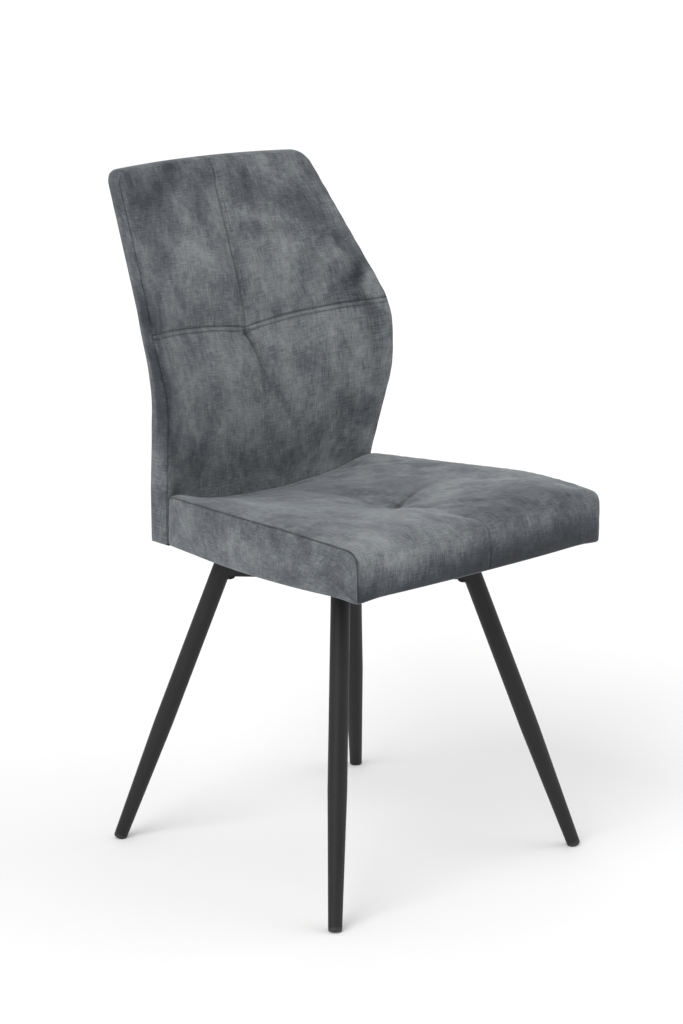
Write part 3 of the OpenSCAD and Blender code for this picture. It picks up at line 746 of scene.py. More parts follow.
    def inflate(self, piece: bpy.types.Object, pins: Array) -> None:
        """Lets the padding swell by cloth simulation, and keeps the result in the mesh.

        Args:
            piece: The cushion.
            pins: How firmly each point is held.
        """
        before = points_of(piece.data)
        group = piece.vertex_groups.new(name="held")
        for index, weight in enumerate(pins):
            if weight > 0.01:
                group.add([index], float(weight), "REPLACE")
        cloth = piece.modifiers.new("swelling", "CLOTH")
        settings = cloth.settings
        settings.quality = 6
        settings.tension_stiffness = settings.compression_stiffness = self.stiffness
        settings.shear_stiffness = self.stiffness / 3.0
        settings.bending_stiffness = self.bending
        settings.use_pressure = True
        settings.uniform_pressure_force = self.pressure
        settings.vertex_group_mass = "held"
        settings.effector_weights.gravity = 0.0
        cloth.collision_settings.use_collision = False
        scene = bpy.context.scene
        for step in range(1, self.frames + 1):
            scene.frame_set(step)
        swollen = piece.evaluated_get(bpy.context.evaluated_depsgraph_get())
        after = points_of(swollen.data)
        piece.modifiers.remove(cloth)
        piece.vertex_groups.clear()
        scene.frame_set(1)
        moved = after - before
        far = np.linalg.norm(moved, axis=1) / MM
        log.info("%s swells by %.1f mm at most, %.1f mm in the mean",
                 self.name, far.max(), far.mean())
        held = np.minimum(1.0, self.swell / np.maximum(far, 1e-6))
        piece.data.vertices.foreach_set("co", (before + moved * held[:, None]).ravel())
        piece.data.update()

    def press(self, piece: bpy.types.Object, u: Array, r: Array, w: Array) -> None:
        """Carves the seams, tufts and folds into the swollen cushion.

        Args:
            piece: The cushion.
            u: Grid coordinate across.
            r: Grid coordinate along.
            w: Grid coordinate through.
        """
        mesh = piece.data
        points = points_of(mesh)
        normals = np.zeros(len(points) * 3, np.float32)
        mesh.vertices.foreach_get("normal", normals)
        relief = self.carve(u, r, w, points / MM)
        points = points + normals.reshape(-1, 3) * (relief.height * MM)[:, None]
        mesh.vertices.foreach_set("co", points.astype(np.float32).ravel())
        # Stores the painted shade, and the pile's tone with its painted shade, for the cloth's
        # material
        for name, values in (("seam", np.clip(relief.seam, 0.0, 1.0)), ("nap_and_painted_shade", relief.nap_and_painted_shade)):
            layer = mesh.attributes.new(name, "FLOAT", "POINT")
            layer.data.foreach_set("value", values.astype(np.float32))
        mesh.update()


def points_of(mesh: bpy.types.Mesh) -> Array:
    """Returns a mesh's vertex places as an array of rows."""
    flat = np.zeros(len(mesh.vertices) * 3, np.float32)
    mesh.vertices.foreach_get("co", flat)
    return flat.reshape(-1, 3).astype(float)


@dataclass
class SeatCushion(Cushion):
    """The padded seat: a top panel that rolls over the front, and two side bands."""

    name: str = "seat_cushion"
    reach: float = 215.0
    thickness: float = 64.0
    length: float = 519.0

    # The seat in plan: its widths, and how its front crowns and its rear follows the back
    width: float = 448.0
    rear_width: float = 370.0
    depth: float = 438.0
    wide_place: float = 143.0
    waist_rounding: float = 20.0
    corner_draw: float = 6.0
    crown: float = 9.0
    crown_power: float = 2.5
    crown_run: float = 80.0
    wing_base: float = 22.0
    follow_place: float = 250.0
    gap_to_back: float = 0.5
    tuft_place: float = 189.0
    # The seat from the side: heights, slopes in degrees, the sunk middle, and the rolled edges
    height: float = 510.0
    deep: float = 66.0
    board_slope: float = 2.35
    top_slope: float = 3.2
    level_run: float = 150.0
    front_fall: float = 3.0
    dish: float = 27.0
    dip_power: float = 1.3
    front_roll: float = 16.0
    rear_roll: float = 7.0
    rear_face: float = 50.0
    front_face: float = 50.0
    # The cover's lower edge: its inset, its roundings, and the cloth that is turned under
    foot_inset: float = 9.0
    foot_round: float = 6.0
    front_corner: float = 6.5
    hem: float = 1.2
    turned_under: float = 28.0
    hollow_under: float = 2.8
    # Softness: bellies of the bands and the front, and the sagging of the lower edges
    side_belly: float = 2.9
    front_hollow: float = 2.0
    edge_sag: float = 3.4
    corner_droop: float = 3.6

    def __post_init__(self) -> None:
        """Takes the front of the seat from the frame."""
        self.front_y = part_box("seat_cover_top")[0].y / MM
        self.side_place = self.depth - self.wing_base
        self.rear_place = self.side_place - self.gap_to_back

    def edge_height(self, place: Array) -> Array:
        """Returns the height of the seat's upper edge."""
        beyond = np.maximum(0.0, place - self.level_run)
        ahead = np.maximum(0.0, 1.0 - place / self.level_run)
        return (self.height - math.tan(math.radians(self.top_slope)) * beyond
                - self.front_fall * ahead ** 2)

    def underside(self, place: Array) -> Array:
        """Returns the height of the seat's underside."""
        return self.height - self.deep - math.tan(math.radians(self.board_slope)) * place

    def half(self, place: Array) -> Array:
        """Returns half the seat's width."""
        sides = mix(self.width, self.rear_width,
                    (place - self.wide_place) / (self.side_place - self.wide_place))
        return (smooth_min(sides, self.width, self.waist_rounding) / 2.0
                - self.corner_draw * np.maximum(0.0, 1.0 - place / self.wide_place) ** 2)

    def front_shift(self, u: Array) -> Array:
        """Returns how far the front face stands ahead of its corners, as a negative place."""
        return -self.crown * (1.0 - np.abs(u) ** self.crown_power)

    def shifted(self, u: Array, place: Array) -> Array:
        """Returns places moved by the front's crown and by the curve that follows the back."""
        follow = (place - self.follow_place) / (self.rear_place - self.follow_place)
        wing = (self.wing_base * (1.0 - np.abs(u) ** self.wing_power)
                * np.clip(follow, 0.0, 1.0))
        fade = np.clip(1.0 - (place - self.crown) / self.crown_run, 0.0, 1.0)
        return place + (wing + self.front_shift(u) * fade)

    def profile(self, r: Array) -> tuple[Array, Array, Array]:
        """Follows the seat's profile.

        Args:
            r: Distance along the profile, from the foot of the rear face over the top to the
                foot of the front face.

        Returns:
            The place, the depth below the top edge, and the share of the way down to the underside.
        """
        quarter = math.pi / 2.0
        rear_end = self.rear_face + quarter * self.rear_roll
        front_start = self.length - self.front_face - quarter * self.front_roll
        rear_turn = np.clip((r - self.rear_face) / self.rear_roll, 0.0, quarter)
        front_turn = np.clip((r - front_start) / self.front_roll, 0.0, quarter)
        top = np.clip((r - rear_end) / (front_start - rear_end), 0.0, 1.0)
        place = (mix(self.rear_place - self.rear_roll, self.crown + self.front_roll, top)
                 + self.rear_roll * np.where(top > 0.0, 0.0, np.cos(rear_turn))
                 - self.front_roll * np.sin(front_turn))
        low = (self.rear_roll * np.where(top > 0.0, 0.0, 1.0 - np.sin(rear_turn))
               + self.front_roll * (1.0 - np.cos(front_turn)))
        down = np.maximum(np.clip(1.0 - r / self.rear_face, 0.0, 1.0),
                          np.clip(1.0 - (self.length - r) / self.front_face, 0.0, 1.0))
        return place, low, down

    def surface(self, u: Array, r: Array, w: Array) -> tuple[Array, Array, Array]:
        """Returns x, y and z of grid points in mm, before the padding swells."""
        # The top panel, and the front and rear faces below it
        place, low, down = self.profile(r)
        outer = self.shifted(u, place)
        half = self.half(place)
        side = (1.0 - np.abs(u)) * half
        dip = (self.dish * np.clip(place / self.side_place, 0.0, 1.0) ** self.dip_power
               * (1.0 - u * u))
        full = self.puff(side, place) * (1.0 - down) * (low < 0.75 * self.front_roll)
        z = mix(self.edge_height(place) - dip - low + full, self.underside(outer), down)
        # The underside: cloth turned under along its edge, and further in the hollow above the
        # dust cover
        foot = mix(self.rear_place - self.foot_inset, self.crown + self.foot_inset, r / self.length)
        foot_outer = self.shifted(u, foot)
        ring = np.minimum((1.0 - np.abs(u)) * self.half(foot),
                          np.minimum(foot - self.crown, self.rear_place - foot))
        foot_z = (self.underside(foot_outer)
                  + self.hollow_under * ease((ring - self.turned_under) / 4.0))
        x = mix(u * half, u * self.half(foot), w)
        back = mix(outer, foot_outer, w)
        z = mix(z, foot_z, w)
        # Side bands belly out a little, and both edges of a band are drawn in
        band = np.abs(u) ** self.band_power
        through = w * self.thickness
        belly = (self.side_belly * 4.0 * w * (1.0 - w) - 0.8 * ridge(self.thickness - through, 4.0)
                 - 0.6 * ridge(through, 3.5) * (1.0 - down))
        x = x + np.sign(u) * band * belly
        front = r > self.length / 2.0
        bulge = 4.0 * down * (1.0 - down) * (1.0 - w)
        back = back - np.where(front, self.front_hollow, 0.0) * bulge
        # The lower edges and the upright front corners are round
        start = self.crown + self.front_shift(u)
        half = self.half(np.maximum(back, self.crown))
        side, ahead = half - np.abs(x), back - start
        rise = z - self.underside(back)
        ring_side = np.where(w > 1.0 - SAME, ring, 0.0)
        side, rise = round_corner(side, rise, self.foot_round)
        ahead, rise = round_corner(ahead, rise, self.foot_round)
        side, ahead = round_corner(side, ahead, self.front_corner)
        x = np.sign(x) * (half - side)
        back = start + ahead
        sag = self.edge_sag * ridge(back - 280.0, 120.0) * ridge(side, 30.0) * ridge(rise, 30.0)
        droop = self.corner_droop * ridge(np.hypot(side, ahead), 26.0) * ridge(rise, 24.0)
        hem = self.hem * ridge(rise, 8.0) * (ring_side < 30.0)
        z = self.underside(back) + rise - sag - droop - hem
        return x, self.front_y + back, z

    def puff(self, side: Array, place: Array) -> Array:
        """Returns the fullness of the top panel: drawn down at its seam and full beside it."""
        return -1.6 * ridge(side, 5.0) + 3.6 * ridge(side - 22.0, 20.0) * ease(place / 90.0)

    def pins(self, u: Array, r: Array, w: Array) -> Array:
        """Returns how firmly each grid point is held while the cushion swells, 0 to 1."""
        place, _, down = self.profile(r)
        side = (1.0 - np.abs(u)) * self.half(place)
        tuft = np.hypot(u * self.half(place), place - self.tuft_place)
        held = np.maximum.reduce([
            ridge(side, 9.0), ridge(tuft, 12.0), np.clip(down * 3.0, 0.0, 1.0),
            np.clip((place - 380.0) / 20.0, 0.0, 1.0),
            0.75 * ridge(u * self.reach, 4.0) * (place < 90.0)])
        return np.where(w > SAME, 1.0, held)

    def carve(self, u: Array, r: Array, w: Array, points: Array) -> Relief:
        """Returns the height that seams and folds add, and the shade and pile tone painted into the
        cloth.
        """
        place, _, down = self.profile(r)
        x = u * self.half(place)
        face = (w < SAME).astype(float)
        through = w * self.thickness
        side = (1.0 - np.abs(u)) * self.half(place)
        # The tuft: a wide dish with a narrow crease, bent towards the front, at its bottom
        tuft = np.hypot(x, (place - self.tuft_place) * 1.1)
        pinch = np.hypot(x / 2.1, place - self.tuft_place + 0.010 * x * x)
        # The centre seam, which starts short of the tuft and runs down the front
        ahead = ease((85.0 - place) / 45.0) * (r > self.length / 2.0)
        centre = ridge(x, self.seam_width) * ahead
        height = face * (-5.0 * ridge(pinch, 5.5) - 11.0 * ridge(tuft, 60.0)
                         - 1.0 * centre - 1.1 * ridge(x, 9.0) * ahead * (1.0 - down))
        crumple = self.crumple(x, place)
        height = height + face * crumple.height
        # Fine gathers spread from the seam where it turns over the front
        turn = r - (self.length - self.front_face - 14.0)
        around = np.hypot(x, 0.8 * turn)
        height = height + 0.45 * face * np.sin(around * 0.62 + 0.8) * ridge(around - 22.0, 20.0)
        # The cloth is never quite flat between its seams
        waves = Wander(11, 62.0).at(points[:, 0] + points[:, 2], points[:, 1])
        ripple = Wander(12, 24.0).at(points[:, 0], points[:, 1] + points[:, 2])
        free = ease(side / 25.0) * face
        height = height + free * (0.6 * waves + 0.2 * ripple) * (1.0 - 0.4 * down)
        # The edge seams, and the puckers beside them
        edge = ridge(side, self.seam_width) * (through < self.seam_width) * (down < 0.97)
        height = height - 1.0 * edge * (1.0 - 0.7 * down)
        pucker = Wander(13, 15.0, 6).at(r, r * 0.0)
        height = height + 0.3 * pucker * ridge(np.maximum(side, through) - 4.0, 5.0)
        # Painted shade: the colour is darkened in the edge seams, along the centre seam, in the
        # tuft's crease and in the folds' valleys
        seam = np.maximum.reduce([
            0.8 * edge, 0.4 * centre * face * (1.0 - 0.7 * down), 0.9 * ridge(pinch, 4.5) * face,
            crumple.seam * face])
        # Pile tone with painted shade: the patches, and the front face painted darker than the top;
        # the sides and underside take one even tone
        nap_and_painted_shade = crumple.nap_and_painted_shade + 0.35 - 3.3 * down
        return Relief(height, seam, nap_and_painted_shade * face + 0.1 * (1.0 - face))

    def pile_and_shade_patches(self) -> list[Patch]:
        """Returns the patches that make the top panel lighter or darker, in x and place."""
        return [
            Patch((-70.0, 95.0), (80.0, 60.0), 0.9), Patch((-165.0, 20.0), (50.0, 40.0), 1.2),
            Patch((-120.0, 230.0), (60.0, 70.0), 0.4), Patch((10.0, 300.0), (60.0, 60.0), -0.5),
            Patch((100.0, 160.0), (70.0, 40.0), 0.7), Patch((120.0, 52.0), (70.0, 40.0), -1.3),
            Patch((20.0, 40.0), (60.0, 30.0), -0.8), Patch((150.0, 330.0), (60.0, 60.0), 0.4),
            Patch((-150.0, 370.0), (60.0, 45.0), -0.4), Patch((190.0, 110.0), (22.0, 70.0), 0.5),
        ]

    def folds(self) -> list[Fold]:
        """Returns the folds of the top panel, in x and place."""
        at = self.tuft_place
        return [
            Fold((8.0, at - 1.0), (96.0, at + 14.0), 3.6, 6.5, 0.4, 0.8),
            Fold((5.0, at - 4.0), (-24.0, at - 3.0), 3.4, 4.0, 0.3, 0.95),
            Fold((-10.0, at - 3.0), (-44.0, at - 4.0), 2.0, 5.0, 0.4, 0.25),
            Fold((-10.0, at + 14.0), (-70.0, at + 52.0), 1.0, 6.0, 0.4, 0.1),
            Fold((24.0, at - 62.0), (92.0, at - 92.0), 1.2, 6.0, 0.5, 0.15),
            Fold((14.0, at - 78.0), (60.0, at - 122.0), 1.2, 5.0, 0.5, 0.2),
            Fold((6.0, at - 92.0), (34.0, at - 152.0), 1.3, 4.5, 0.5, 0.25),
            Fold((-20.0, at - 96.0), (-64.0, at - 140.0), 1.1, 5.0, 0.5, 0.15),
            Fold((-30.0, at - 60.0), (-100.0, at - 84.0), 0.9, 7.0, 0.5, 0.1),
            Fold((-150.0, 395.0), (-60.0, 372.0), 1.5, 4.0, 0.6, 0.2),
            Fold((-168.0, 388.0), (-110.0, 352.0), 1.3, 4.0, 0.6, 0.2),
            Fold((150.0, 395.0), (70.0, 370.0), 1.5, 4.0, 0.6, 0.2),
            Fold((60.0, 398.0), (0.0, 384.0), 1.2, 4.0, 0.6, 0.2),
        ]


@dataclass
class BackCushion(Cushion):
    """The padded back: four front panels between two wings, side bands and a rear panel."""

    name: str = "back_cushion"
    reach: float = 200.0
    thickness: float = 31.0

    # The back from the front: its widths at the seat, the waist and the top
    base_level: float = 495.1
    base_width: float = 370.0
    waist_width: float = 422.0
    waist_height: float = 705.0
    waist_rounding: float = 8.0
    top_width: float = 331.0
    corner: float = 15.0
    foot_round: float = 6.0
    head_fall: float = 4.0
    # The back from the side: its lean in degrees, and how far its wings stand ahead of the middle
    seat_depth: float = 438.0
    lean: float = 20.0
    bend_height: float = 622.0
    wing_depth: float = 67.0
    wing_top: float = 8.0
    wing_base: float = 22.0
    upper_thickness: float = 25.0
    lower_thickness: float = 37.0
    # The cross seam, its topstitching and the tuft below them
    seam_height: float = 695.0
    seam_rise: float = 20.0
    stitch_drop: float = 6.6
    tuft_drop: float = 9.0
    tuft_reach: float = 40.0
    tuft_pull: Point = (-3.0, -2.0)
    tuft_depth: float = 8.0
    # Softness: how far the panels are drawn in along their seams, and how far the bands, the waist
    # and the rear panel stand out
    seam_draw: float = 1.8
    band_belly: float = 2.0
    waist_belly: float = 1.0
    rear_belly: float = 1.9

    def __post_init__(self) -> None:
        """Takes the height of the back and the front of the seat from the frame."""
        self.front_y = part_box("seat_cover_top")[0].y / MM
        self.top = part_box("back_panel_upper_left")[1].z / MM
        self.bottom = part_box("back_bottom_cover")[0].z / MM
        self.lower = self.seam_height - self.bottom
        self.length = self.top - self.bottom
        self.cross_lines = (self.lower - self.stitch_drop, self.lower)

    def level(self, u: Array, r: Array) -> Array:
        """Returns the height of grid points: rows run level at the foot and follow the seam."""
        seam = self.seam_height + self.seam_rise * np.abs(u)
        head = self.top - self.head_fall * u * u
        above = np.maximum(0.0, r - self.lower)
        below = np.maximum(0.0, self.lower - r)
        upper = self.length - self.lower
        z = seam + above + (head - seam - upper) * (above / upper) ** 3
        return z - below - (seam - self.bottom - self.lower) * (below / self.lower) ** 3

    def tent(self, z: Array, base: float, waist: float, top: float, rounding: float) -> Array:
        """Returns a value that runs straight from base to waist to top, rounded at the waist."""
        level = np.maximum(z, self.base_level)
        rise = (level - self.base_level) / (self.waist_height - self.base_level)
        drop = (self.top - level) / (self.top - self.waist_height)
        return smooth_min(mix(base, waist, rise), mix(top, waist, drop), rounding)

    def half(self, z: Array) -> Array:
        """Returns half the back's width."""
        return self.tent(z, self.base_width / 2.0, self.waist_width / 2.0, self.top_width / 2.0,
                         self.waist_rounding)

    def face(self, u: Array, z: Array) -> Array:
        """Returns the place of the back's face."""
        level = np.maximum(z, self.base_level)
        upright = np.full_like(level, self.seat_depth)
        leaning = (self.seat_depth
                   + math.tan(math.radians(self.lean)) * (level - self.bend_height))
        wing = self.tent(z, self.wing_base, self.wing_depth, self.wing_top, 20.0)
        return smooth_max(upright, leaning, 8.0) - wing * np.abs(u) ** self.wing_power

    def depth(self, z: Array) -> Array:
        """Returns the thickness of the back, measured level."""
        low = self.bend_height - 40.0
        return mix(self.lower_thickness, self.upper_thickness,
                   ease((z - low) / (self.waist_height - low)))

    def pull(self, x: Array, z: Array) -> tuple[Array, Array]:
        """Returns how far the tuft draws the cloth round it aside and down."""
        near = ridge(np.hypot(x, z - self.seam_height), self.tuft_reach)
        return self.tuft_pull[0] * near, self.tuft_pull[1] * near

    def surface(self, u: Array, r: Array, w: Array) -> tuple[Array, Array, Array]:
        """Returns x, y and z of grid points in mm, before the padding swells."""
        z = self.level(u, r)
        half = self.half(z)
        x = u * half
        # Rounds the upper corners, and the lower ones less
        head = self.top - self.head_fall * u * u
        side, over = round_corner(half - np.abs(x), head - z, self.corner)
        low_side, under = round_corner(side, z - self.bottom, self.foot_round)
        at_foot = z < self.bottom + self.foot_round
        side = np.where(at_foot, low_side, side)
        z = np.where(at_foot, self.bottom + under, head - over)
        x = np.sign(u) * (half - side)
        pull_x, pull_z = self.pull(x, z)
        x, z = x + pull_x * (1.0 - w), z + pull_z * (1.0 - w)
        thick = self.depth(z)
        rim_in = np.minimum(half - np.abs(x), np.minimum(w, 1.0 - w) * thick)
        place = self.face(np.clip(x / half, -1.0, 1.0), z) + w * thick
        # Panels are drawn in along every edge seam, and the bands between them belly out
        rim = np.minimum(side, np.minimum(over, under))
        drawn = ridge(rim, 5.5) - 0.9 * ridge(rim - 16.0, 14.0) * (z > self.base_level)
        place = place + self.seam_draw * drawn * np.maximum(1.0 - 2.0 * w, -0.3)
        belly = self.band_belly * 4.0 * w * (1.0 - w) - 0.4 * ridge(w * thick, 3.0)
        waist = self.waist_belly * ridge(z - 670.0, 60.0)
        x = x + np.sign(u) * np.abs(u) ** self.band_power * (belly + waist)
        z = z + ease((r - self.length + 3.0) / 3.0) * belly
        # The rear panel is full but for its foot, and the bottom's cloth is turned in at its rim
        full = self.rear_belly * ease((z - 560.0) / 70.0) * ease((self.top - z) / 20.0)
        place = place + w * (1.2 + full)
        turned_in = mix(1.8, -1.0, ease((rim_in - 4.0) / 2.0))
        z = z - np.where(r < self.foot_round, turned_in, 0.0)
        return x, self.front_y + place, z

    def pins(self, u: Array, r: Array, w: Array) -> Array:
        """Returns how firmly each grid point is held while the cushion swells, 0 to 1."""
        z = self.level(u, r)
        x = u * self.half(z)
        side = (1.0 - np.abs(u)) * self.half(z)
        seam = r - self.lower
        tuft = np.hypot(x, seam + self.tuft_drop)
        held = np.maximum.reduce([
            ridge(side, 9.0), ridge(self.length - r, 9.0), ridge(tuft, 12.0),
            0.85 * ridge(seam, 5.0), 0.7 * ridge(x, 4.0) * (seam > 0.0),
            np.clip((self.base_level + 5.0 - z) / 20.0, 0.0, 1.0)])
        return np.where(w > SAME, 1.0, held)

    def carve(self, u: Array, r: Array, w: Array, points: Array) -> Relief:
        """Returns the height that seams and folds add, and the shade and pile tone painted into the
        cloth.
        """
        z = self.level(u, r)
        x = u * self.half(z)
        side = (1.0 - np.abs(u)) * self.half(z)
        face = (w < SAME).astype(float)
        seam = r - self.lower
        stitch = seam + self.stitch_drop
        tuft = np.hypot(x, (seam + self.tuft_drop) * 1.15)
        # The centre seam runs up from the cross seam
        above = ease((seam + 1.0) / 3.0)
        centre = ridge(x, self.seam_width) * above
        height = face * (
            -1.4 * ridge(seam, 1.3) - 1.3 * ridge(seam, 10.0)
            - 0.9 * ridge(stitch, 1.3) + 0.5 * ridge(seam + self.stitch_drop / 2.0, 2.4)
            - 1.1 * centre - 0.9 * ridge(x, 9.0) * above
            - 3.8 * ridge(tuft, 7.0) - 3.2 * ridge(tuft, 36.0)
        )
        crumple = self.crumple(x, z)
        deepest = np.full_like(height, -self.tuft_depth)
        height = smooth_max(height + face * crumple.height, deepest, 1.5)
        # The cloth is never quite flat between its seams
        waves = Wander(21, 70.0).at(points[:, 0], points[:, 2])
        ripple = Wander(22, 26.0).at(points[:, 0], points[:, 2])
        free = ease(np.minimum(side, self.length - r) / 25.0) * face
        height = height + free * (0.6 * waves + 0.2 * ripple)
        # The edge seams, round the face and round the rear panel, and the puckers beside them
        through = w * self.thickness
        rear = self.thickness - through
        rim = np.minimum(side, np.minimum(self.length - r, r))
        wide = self.seam_width
        edge = np.maximum.reduce([
            ridge(side, wide) * (through < wide), ridge(r, wide) * (through < wide),
            ridge(rim, wide) * (rear < wide)])
        height = height - 0.8 * edge
        pucker = Wander(23, 15.0, 6).at(r, u * self.reach)
        height = height + 0.3 * pucker * ridge(np.maximum(rim, through) - 4.0, 5.0)
        gather = Wander(24, 12.0, 6).at(x, x * 0.0)
        height = height + 0.3 * face * gather * ridge(seam + self.stitch_drop / 2.0, 7.0)
        # Painted shade: the colour is darkened in the edge seams, along the cross seam, its stitch
        # line and the centre seam, in the tuft's pit and in the folds' valleys
        dark = np.maximum.reduce([
            0.65 * edge, 0.9 * face * ridge(seam, 1.1), 0.45 * face * ridge(stitch, 1.0),
            0.6 * face * centre, 1.1 * face * ridge(tuft, 5.5), crumple.seam * face])
        upper = ease((z - self.seam_height) / 30.0)
        # Pile tone: the face's patches with their painted shade, and the lower front panels toned
        # lighter than the upper ones
        nap_and_painted_shade = (0.85 + 0.35 * upper) * crumple.nap_and_painted_shade * (w < 0.7) + (0.55 - 0.35 * upper) * face
        return Relief(height, dark, nap_and_painted_shade)

    def pile_and_shade_patches(self) -> list[Patch]:
        """Returns the patches of the front panels, in x and height: brushed pile, and painted shade
        in the narrow dark strips along the wings.
        """
        return [
            Patch((-85.0, 768.0), (60.0, 42.0), 0.9), Patch((78.0, 790.0), (50.0, 45.0), 0.7),
            Patch((36.0, 735.0), (34.0, 30.0), 0.6), Patch((60.0, 664.0), (46.0, 18.0), 0.7),
            Patch((-40.0, 585.0), (44.0, 50.0), 0.5), Patch((140.0, 618.0), (45.0, 40.0), 0.4),
            Patch((-140.0, 862.0), (34.0, 44.0), -0.9), Patch((-80.0, 892.0), (50.0, 20.0), -0.9),
            Patch((50.0, 884.0), (14.0, 14.0), -0.7), Patch((128.0, 836.0), (34.0, 44.0), -0.8),
            # The narrow dark strips at the wings, near x = ±180 to 200, are painted shade along the
            # side seams and in the wing valleys
            Patch((178.0, 750.0), (15.0, 46.0), -1.4), Patch((-200.0, 690.0), (16.0, 52.0), -2.2),
            Patch((-200.0, 612.0), (16.0, 34.0), -1.8), Patch((-110.0, 532.0), (44.0, 26.0), -0.9),
            Patch((130.0, 550.0), (54.0, 34.0), -0.9), Patch((-150.0, 800.0), (14.0, 26.0), -0.7),
            Patch((196.0, 720.0), (12.0, 30.0), 0.8), Patch((20.0, 632.0), (30.0, 60.0), -0.3),
        ]

    def cross_line(self) -> list[Point]:
        """Returns the topstitched line below the cross seam, in x and height."""
        # It stops short of the edge seams
        share = np.linspace(-0.972, 0.972, 200)
        heights = self.seam_height + self.seam_rise * np.abs(share) - self.stitch_drop
        return self.pulled(share * self.half(heights), heights)

    def centre_line(self) -> list[Point]:
        """Returns the topstitched line beside the centre seam, in x and height."""
        heights = np.linspace(self.seam_height + 4.0, self.top - 8.0, 120)
        return self.pulled(np.full_like(heights, self.stitch_drop), heights)

    def pulled(self, x: Array, z: Array) -> list[Point]:
        """Returns a line's points where the tuft has drawn them."""
        aside, down = self.pull(x, z)
        return list(zip(x + aside, z + down))

    def folds(self) -> list[Fold]:
        """Returns the folds of the front panels, in x and height."""
        tuft = self.seam_height - self.tuft_drop
        wings = [
            fold for sign in (-1.0, 1.0) for fold in (
                Fold((sign * 182.0, 708.0), (sign * 178.0, 570.0), 2.2, 8.0, 0.2, 0.35),
                Fold((sign * 182.0, 716.0), (sign * 166.0, 800.0), 1.8, 8.0, 0.2, 0.35),
            )]
        return [
            Fold((-1.0, tuft + 4.0), (8.0, tuft - 40.0), 3.0, 4.2, 0.7, 1.2),
            Fold((6.0, tuft - 26.0), (5.0, tuft - 150.0), 2.6, 4.6, 0.7, 0.5),
            Fold((9.0, tuft - 120.0), (2.0, tuft - 190.0), 1.2, 7.0, 0.4, 0.15),
            Fold((0.0, tuft + 3.0), (13.0, tuft - 13.0), 3.4, 4.0, 0.3, 0.95),
            Fold((-4.0, tuft), (-34.0, tuft - 8.0), 1.6, 4.5, 0.4, 0.3),
            Fold((10.0, tuft + 1.0), (60.0, tuft - 10.0), 0.8, 6.0, 0.4),
            *wings,
        ]


# Threads -----------------------------------------------------------------------------------------


@dataclass
class Topstitch:
    """A row of machine stitches laid on a cushion."""

    name: str
    pitch: float = 4.2
    length: float = 3.1
    thread: float = 0.75

    def build(self, cushion: bpy.types.Object, line: list[Point],
              finish: bpy.types.Material) -> bpy.types.Object:
        """Lays a stitch at every pitch along a line, on the side that faces the sitter.

        Args:
            cushion: The finished cushion.
            line: Points of the line, as x and z in millimetres.
            finish: The thread's material.

        Returns:
            The stitches as one object.
        """
        skin = BVHTree.FromObject(cushion, bpy.context.evaluated_depsgraph_get())
        hits = [skin.ray_cast(Vector((x * MM, -1.0, z * MM)), Vector((0.0, 1.0, 0.0)))
                for x, z in line]
        path = np.array([place for place, _, _, _ in hits])
        normals = np.array([normal for _, normal, _, _ in hits])
        steps = np.linalg.norm(np.diff(path, axis=0), axis=1)
        walked = np.concatenate([[0.0], np.cumsum(steps)])
        form = bmesh.new()
        for at in np.arange(self.pitch * MM, walked[-1] - self.pitch * MM, self.pitch * MM):
            here, ahead, out = (
                Vector([np.interp(at + step, walked, rows[:, k]) for k in range(3)])
                for rows, step in ((path, 0.0), (path, 0.001), (normals, 0.0))
            )
            run = (ahead - here).normalized()
            out = (out - out.project(run)).normalized()
            turned = Matrix((run, out.cross(run), out)).transposed().to_4x4()
            size = Matrix.Diagonal((self.length * MM, self.thread * MM, self.thread * MM, 1.0))
            bmesh.ops.create_uvsphere(form, u_segments=6, v_segments=5, radius=0.5,
                                      matrix=Matrix.Translation(here) @ turned @ size)
        return object_of(self.name, form, finish)


class Draw(Enum):
    """The way that a tuft's cord runs from its toggle to the tuft."""

    UP = (0.0, 0.0, 1.0)
    FORWARDS = (0.0, -1.0, 0.0)


@dataclass
class Tie:
    """The cord that draws a tuft in, with the toggle that holds it behind the board."""

    name: str
    node: str
    draw: Draw
    drawn: float
    cord: float = 1.4
    toggle: float = 2.6

    def build(self, finish: bpy.types.Material) -> bpy.types.Object:
        """Lays the cord in the place of its plain solid, as short as the drawn-in tuft leaves it.

        Args:
            finish: The cord's material.

        Returns:
            The cord and its toggle as one object.
        """
        low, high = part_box(self.node)
        run, size = Vector(self.draw.value), high - low
        whole = abs(size.dot(run))
        start = (low + high) / 2.0 - run * (whole / 2.0)
        depth = whole - self.drawn * MM
        along = run.to_track_quat("Z", "Y").to_matrix().to_4x4()
        across = Matrix.Rotation(math.pi / 2.0, 4, "Y")
        form = bmesh.new()
        for radius, length, centre, turn in (
            (self.cord * MM, depth, start + run * (depth / 2.0), along),
            (self.toggle * MM, size.x, start + run * (self.toggle * MM), across),
        ):
            bmesh.ops.create_cone(form, cap_ends=True, segments=16, radius1=radius, radius2=radius,
                                  depth=length, matrix=Matrix.Translation(centre) @ turn)
        return object_of(self.name, form, finish)


def object_of(name: str, form: bmesh.types.BMesh, finish: bpy.types.Material) -> bpy.types.Object:
    """Turns a bmesh into a smooth-shaded object at the origin.

    Args:
        name: Name of the piece.
        form: The mesh, which is freed.
        finish: Its material.

    Returns:
        The new object.
    """
    mesh = bpy.data.meshes.new(name)
    form.to_mesh(mesh)
    form.free()
    mesh.shade_smooth()
    mesh.materials.append(finish)
    piece = bpy.data.objects.new(name, mesh)
    bpy.context.scene.collection.objects.link(piece)
    return piece


# Assemblies --------------------------------------------------------------------------------------


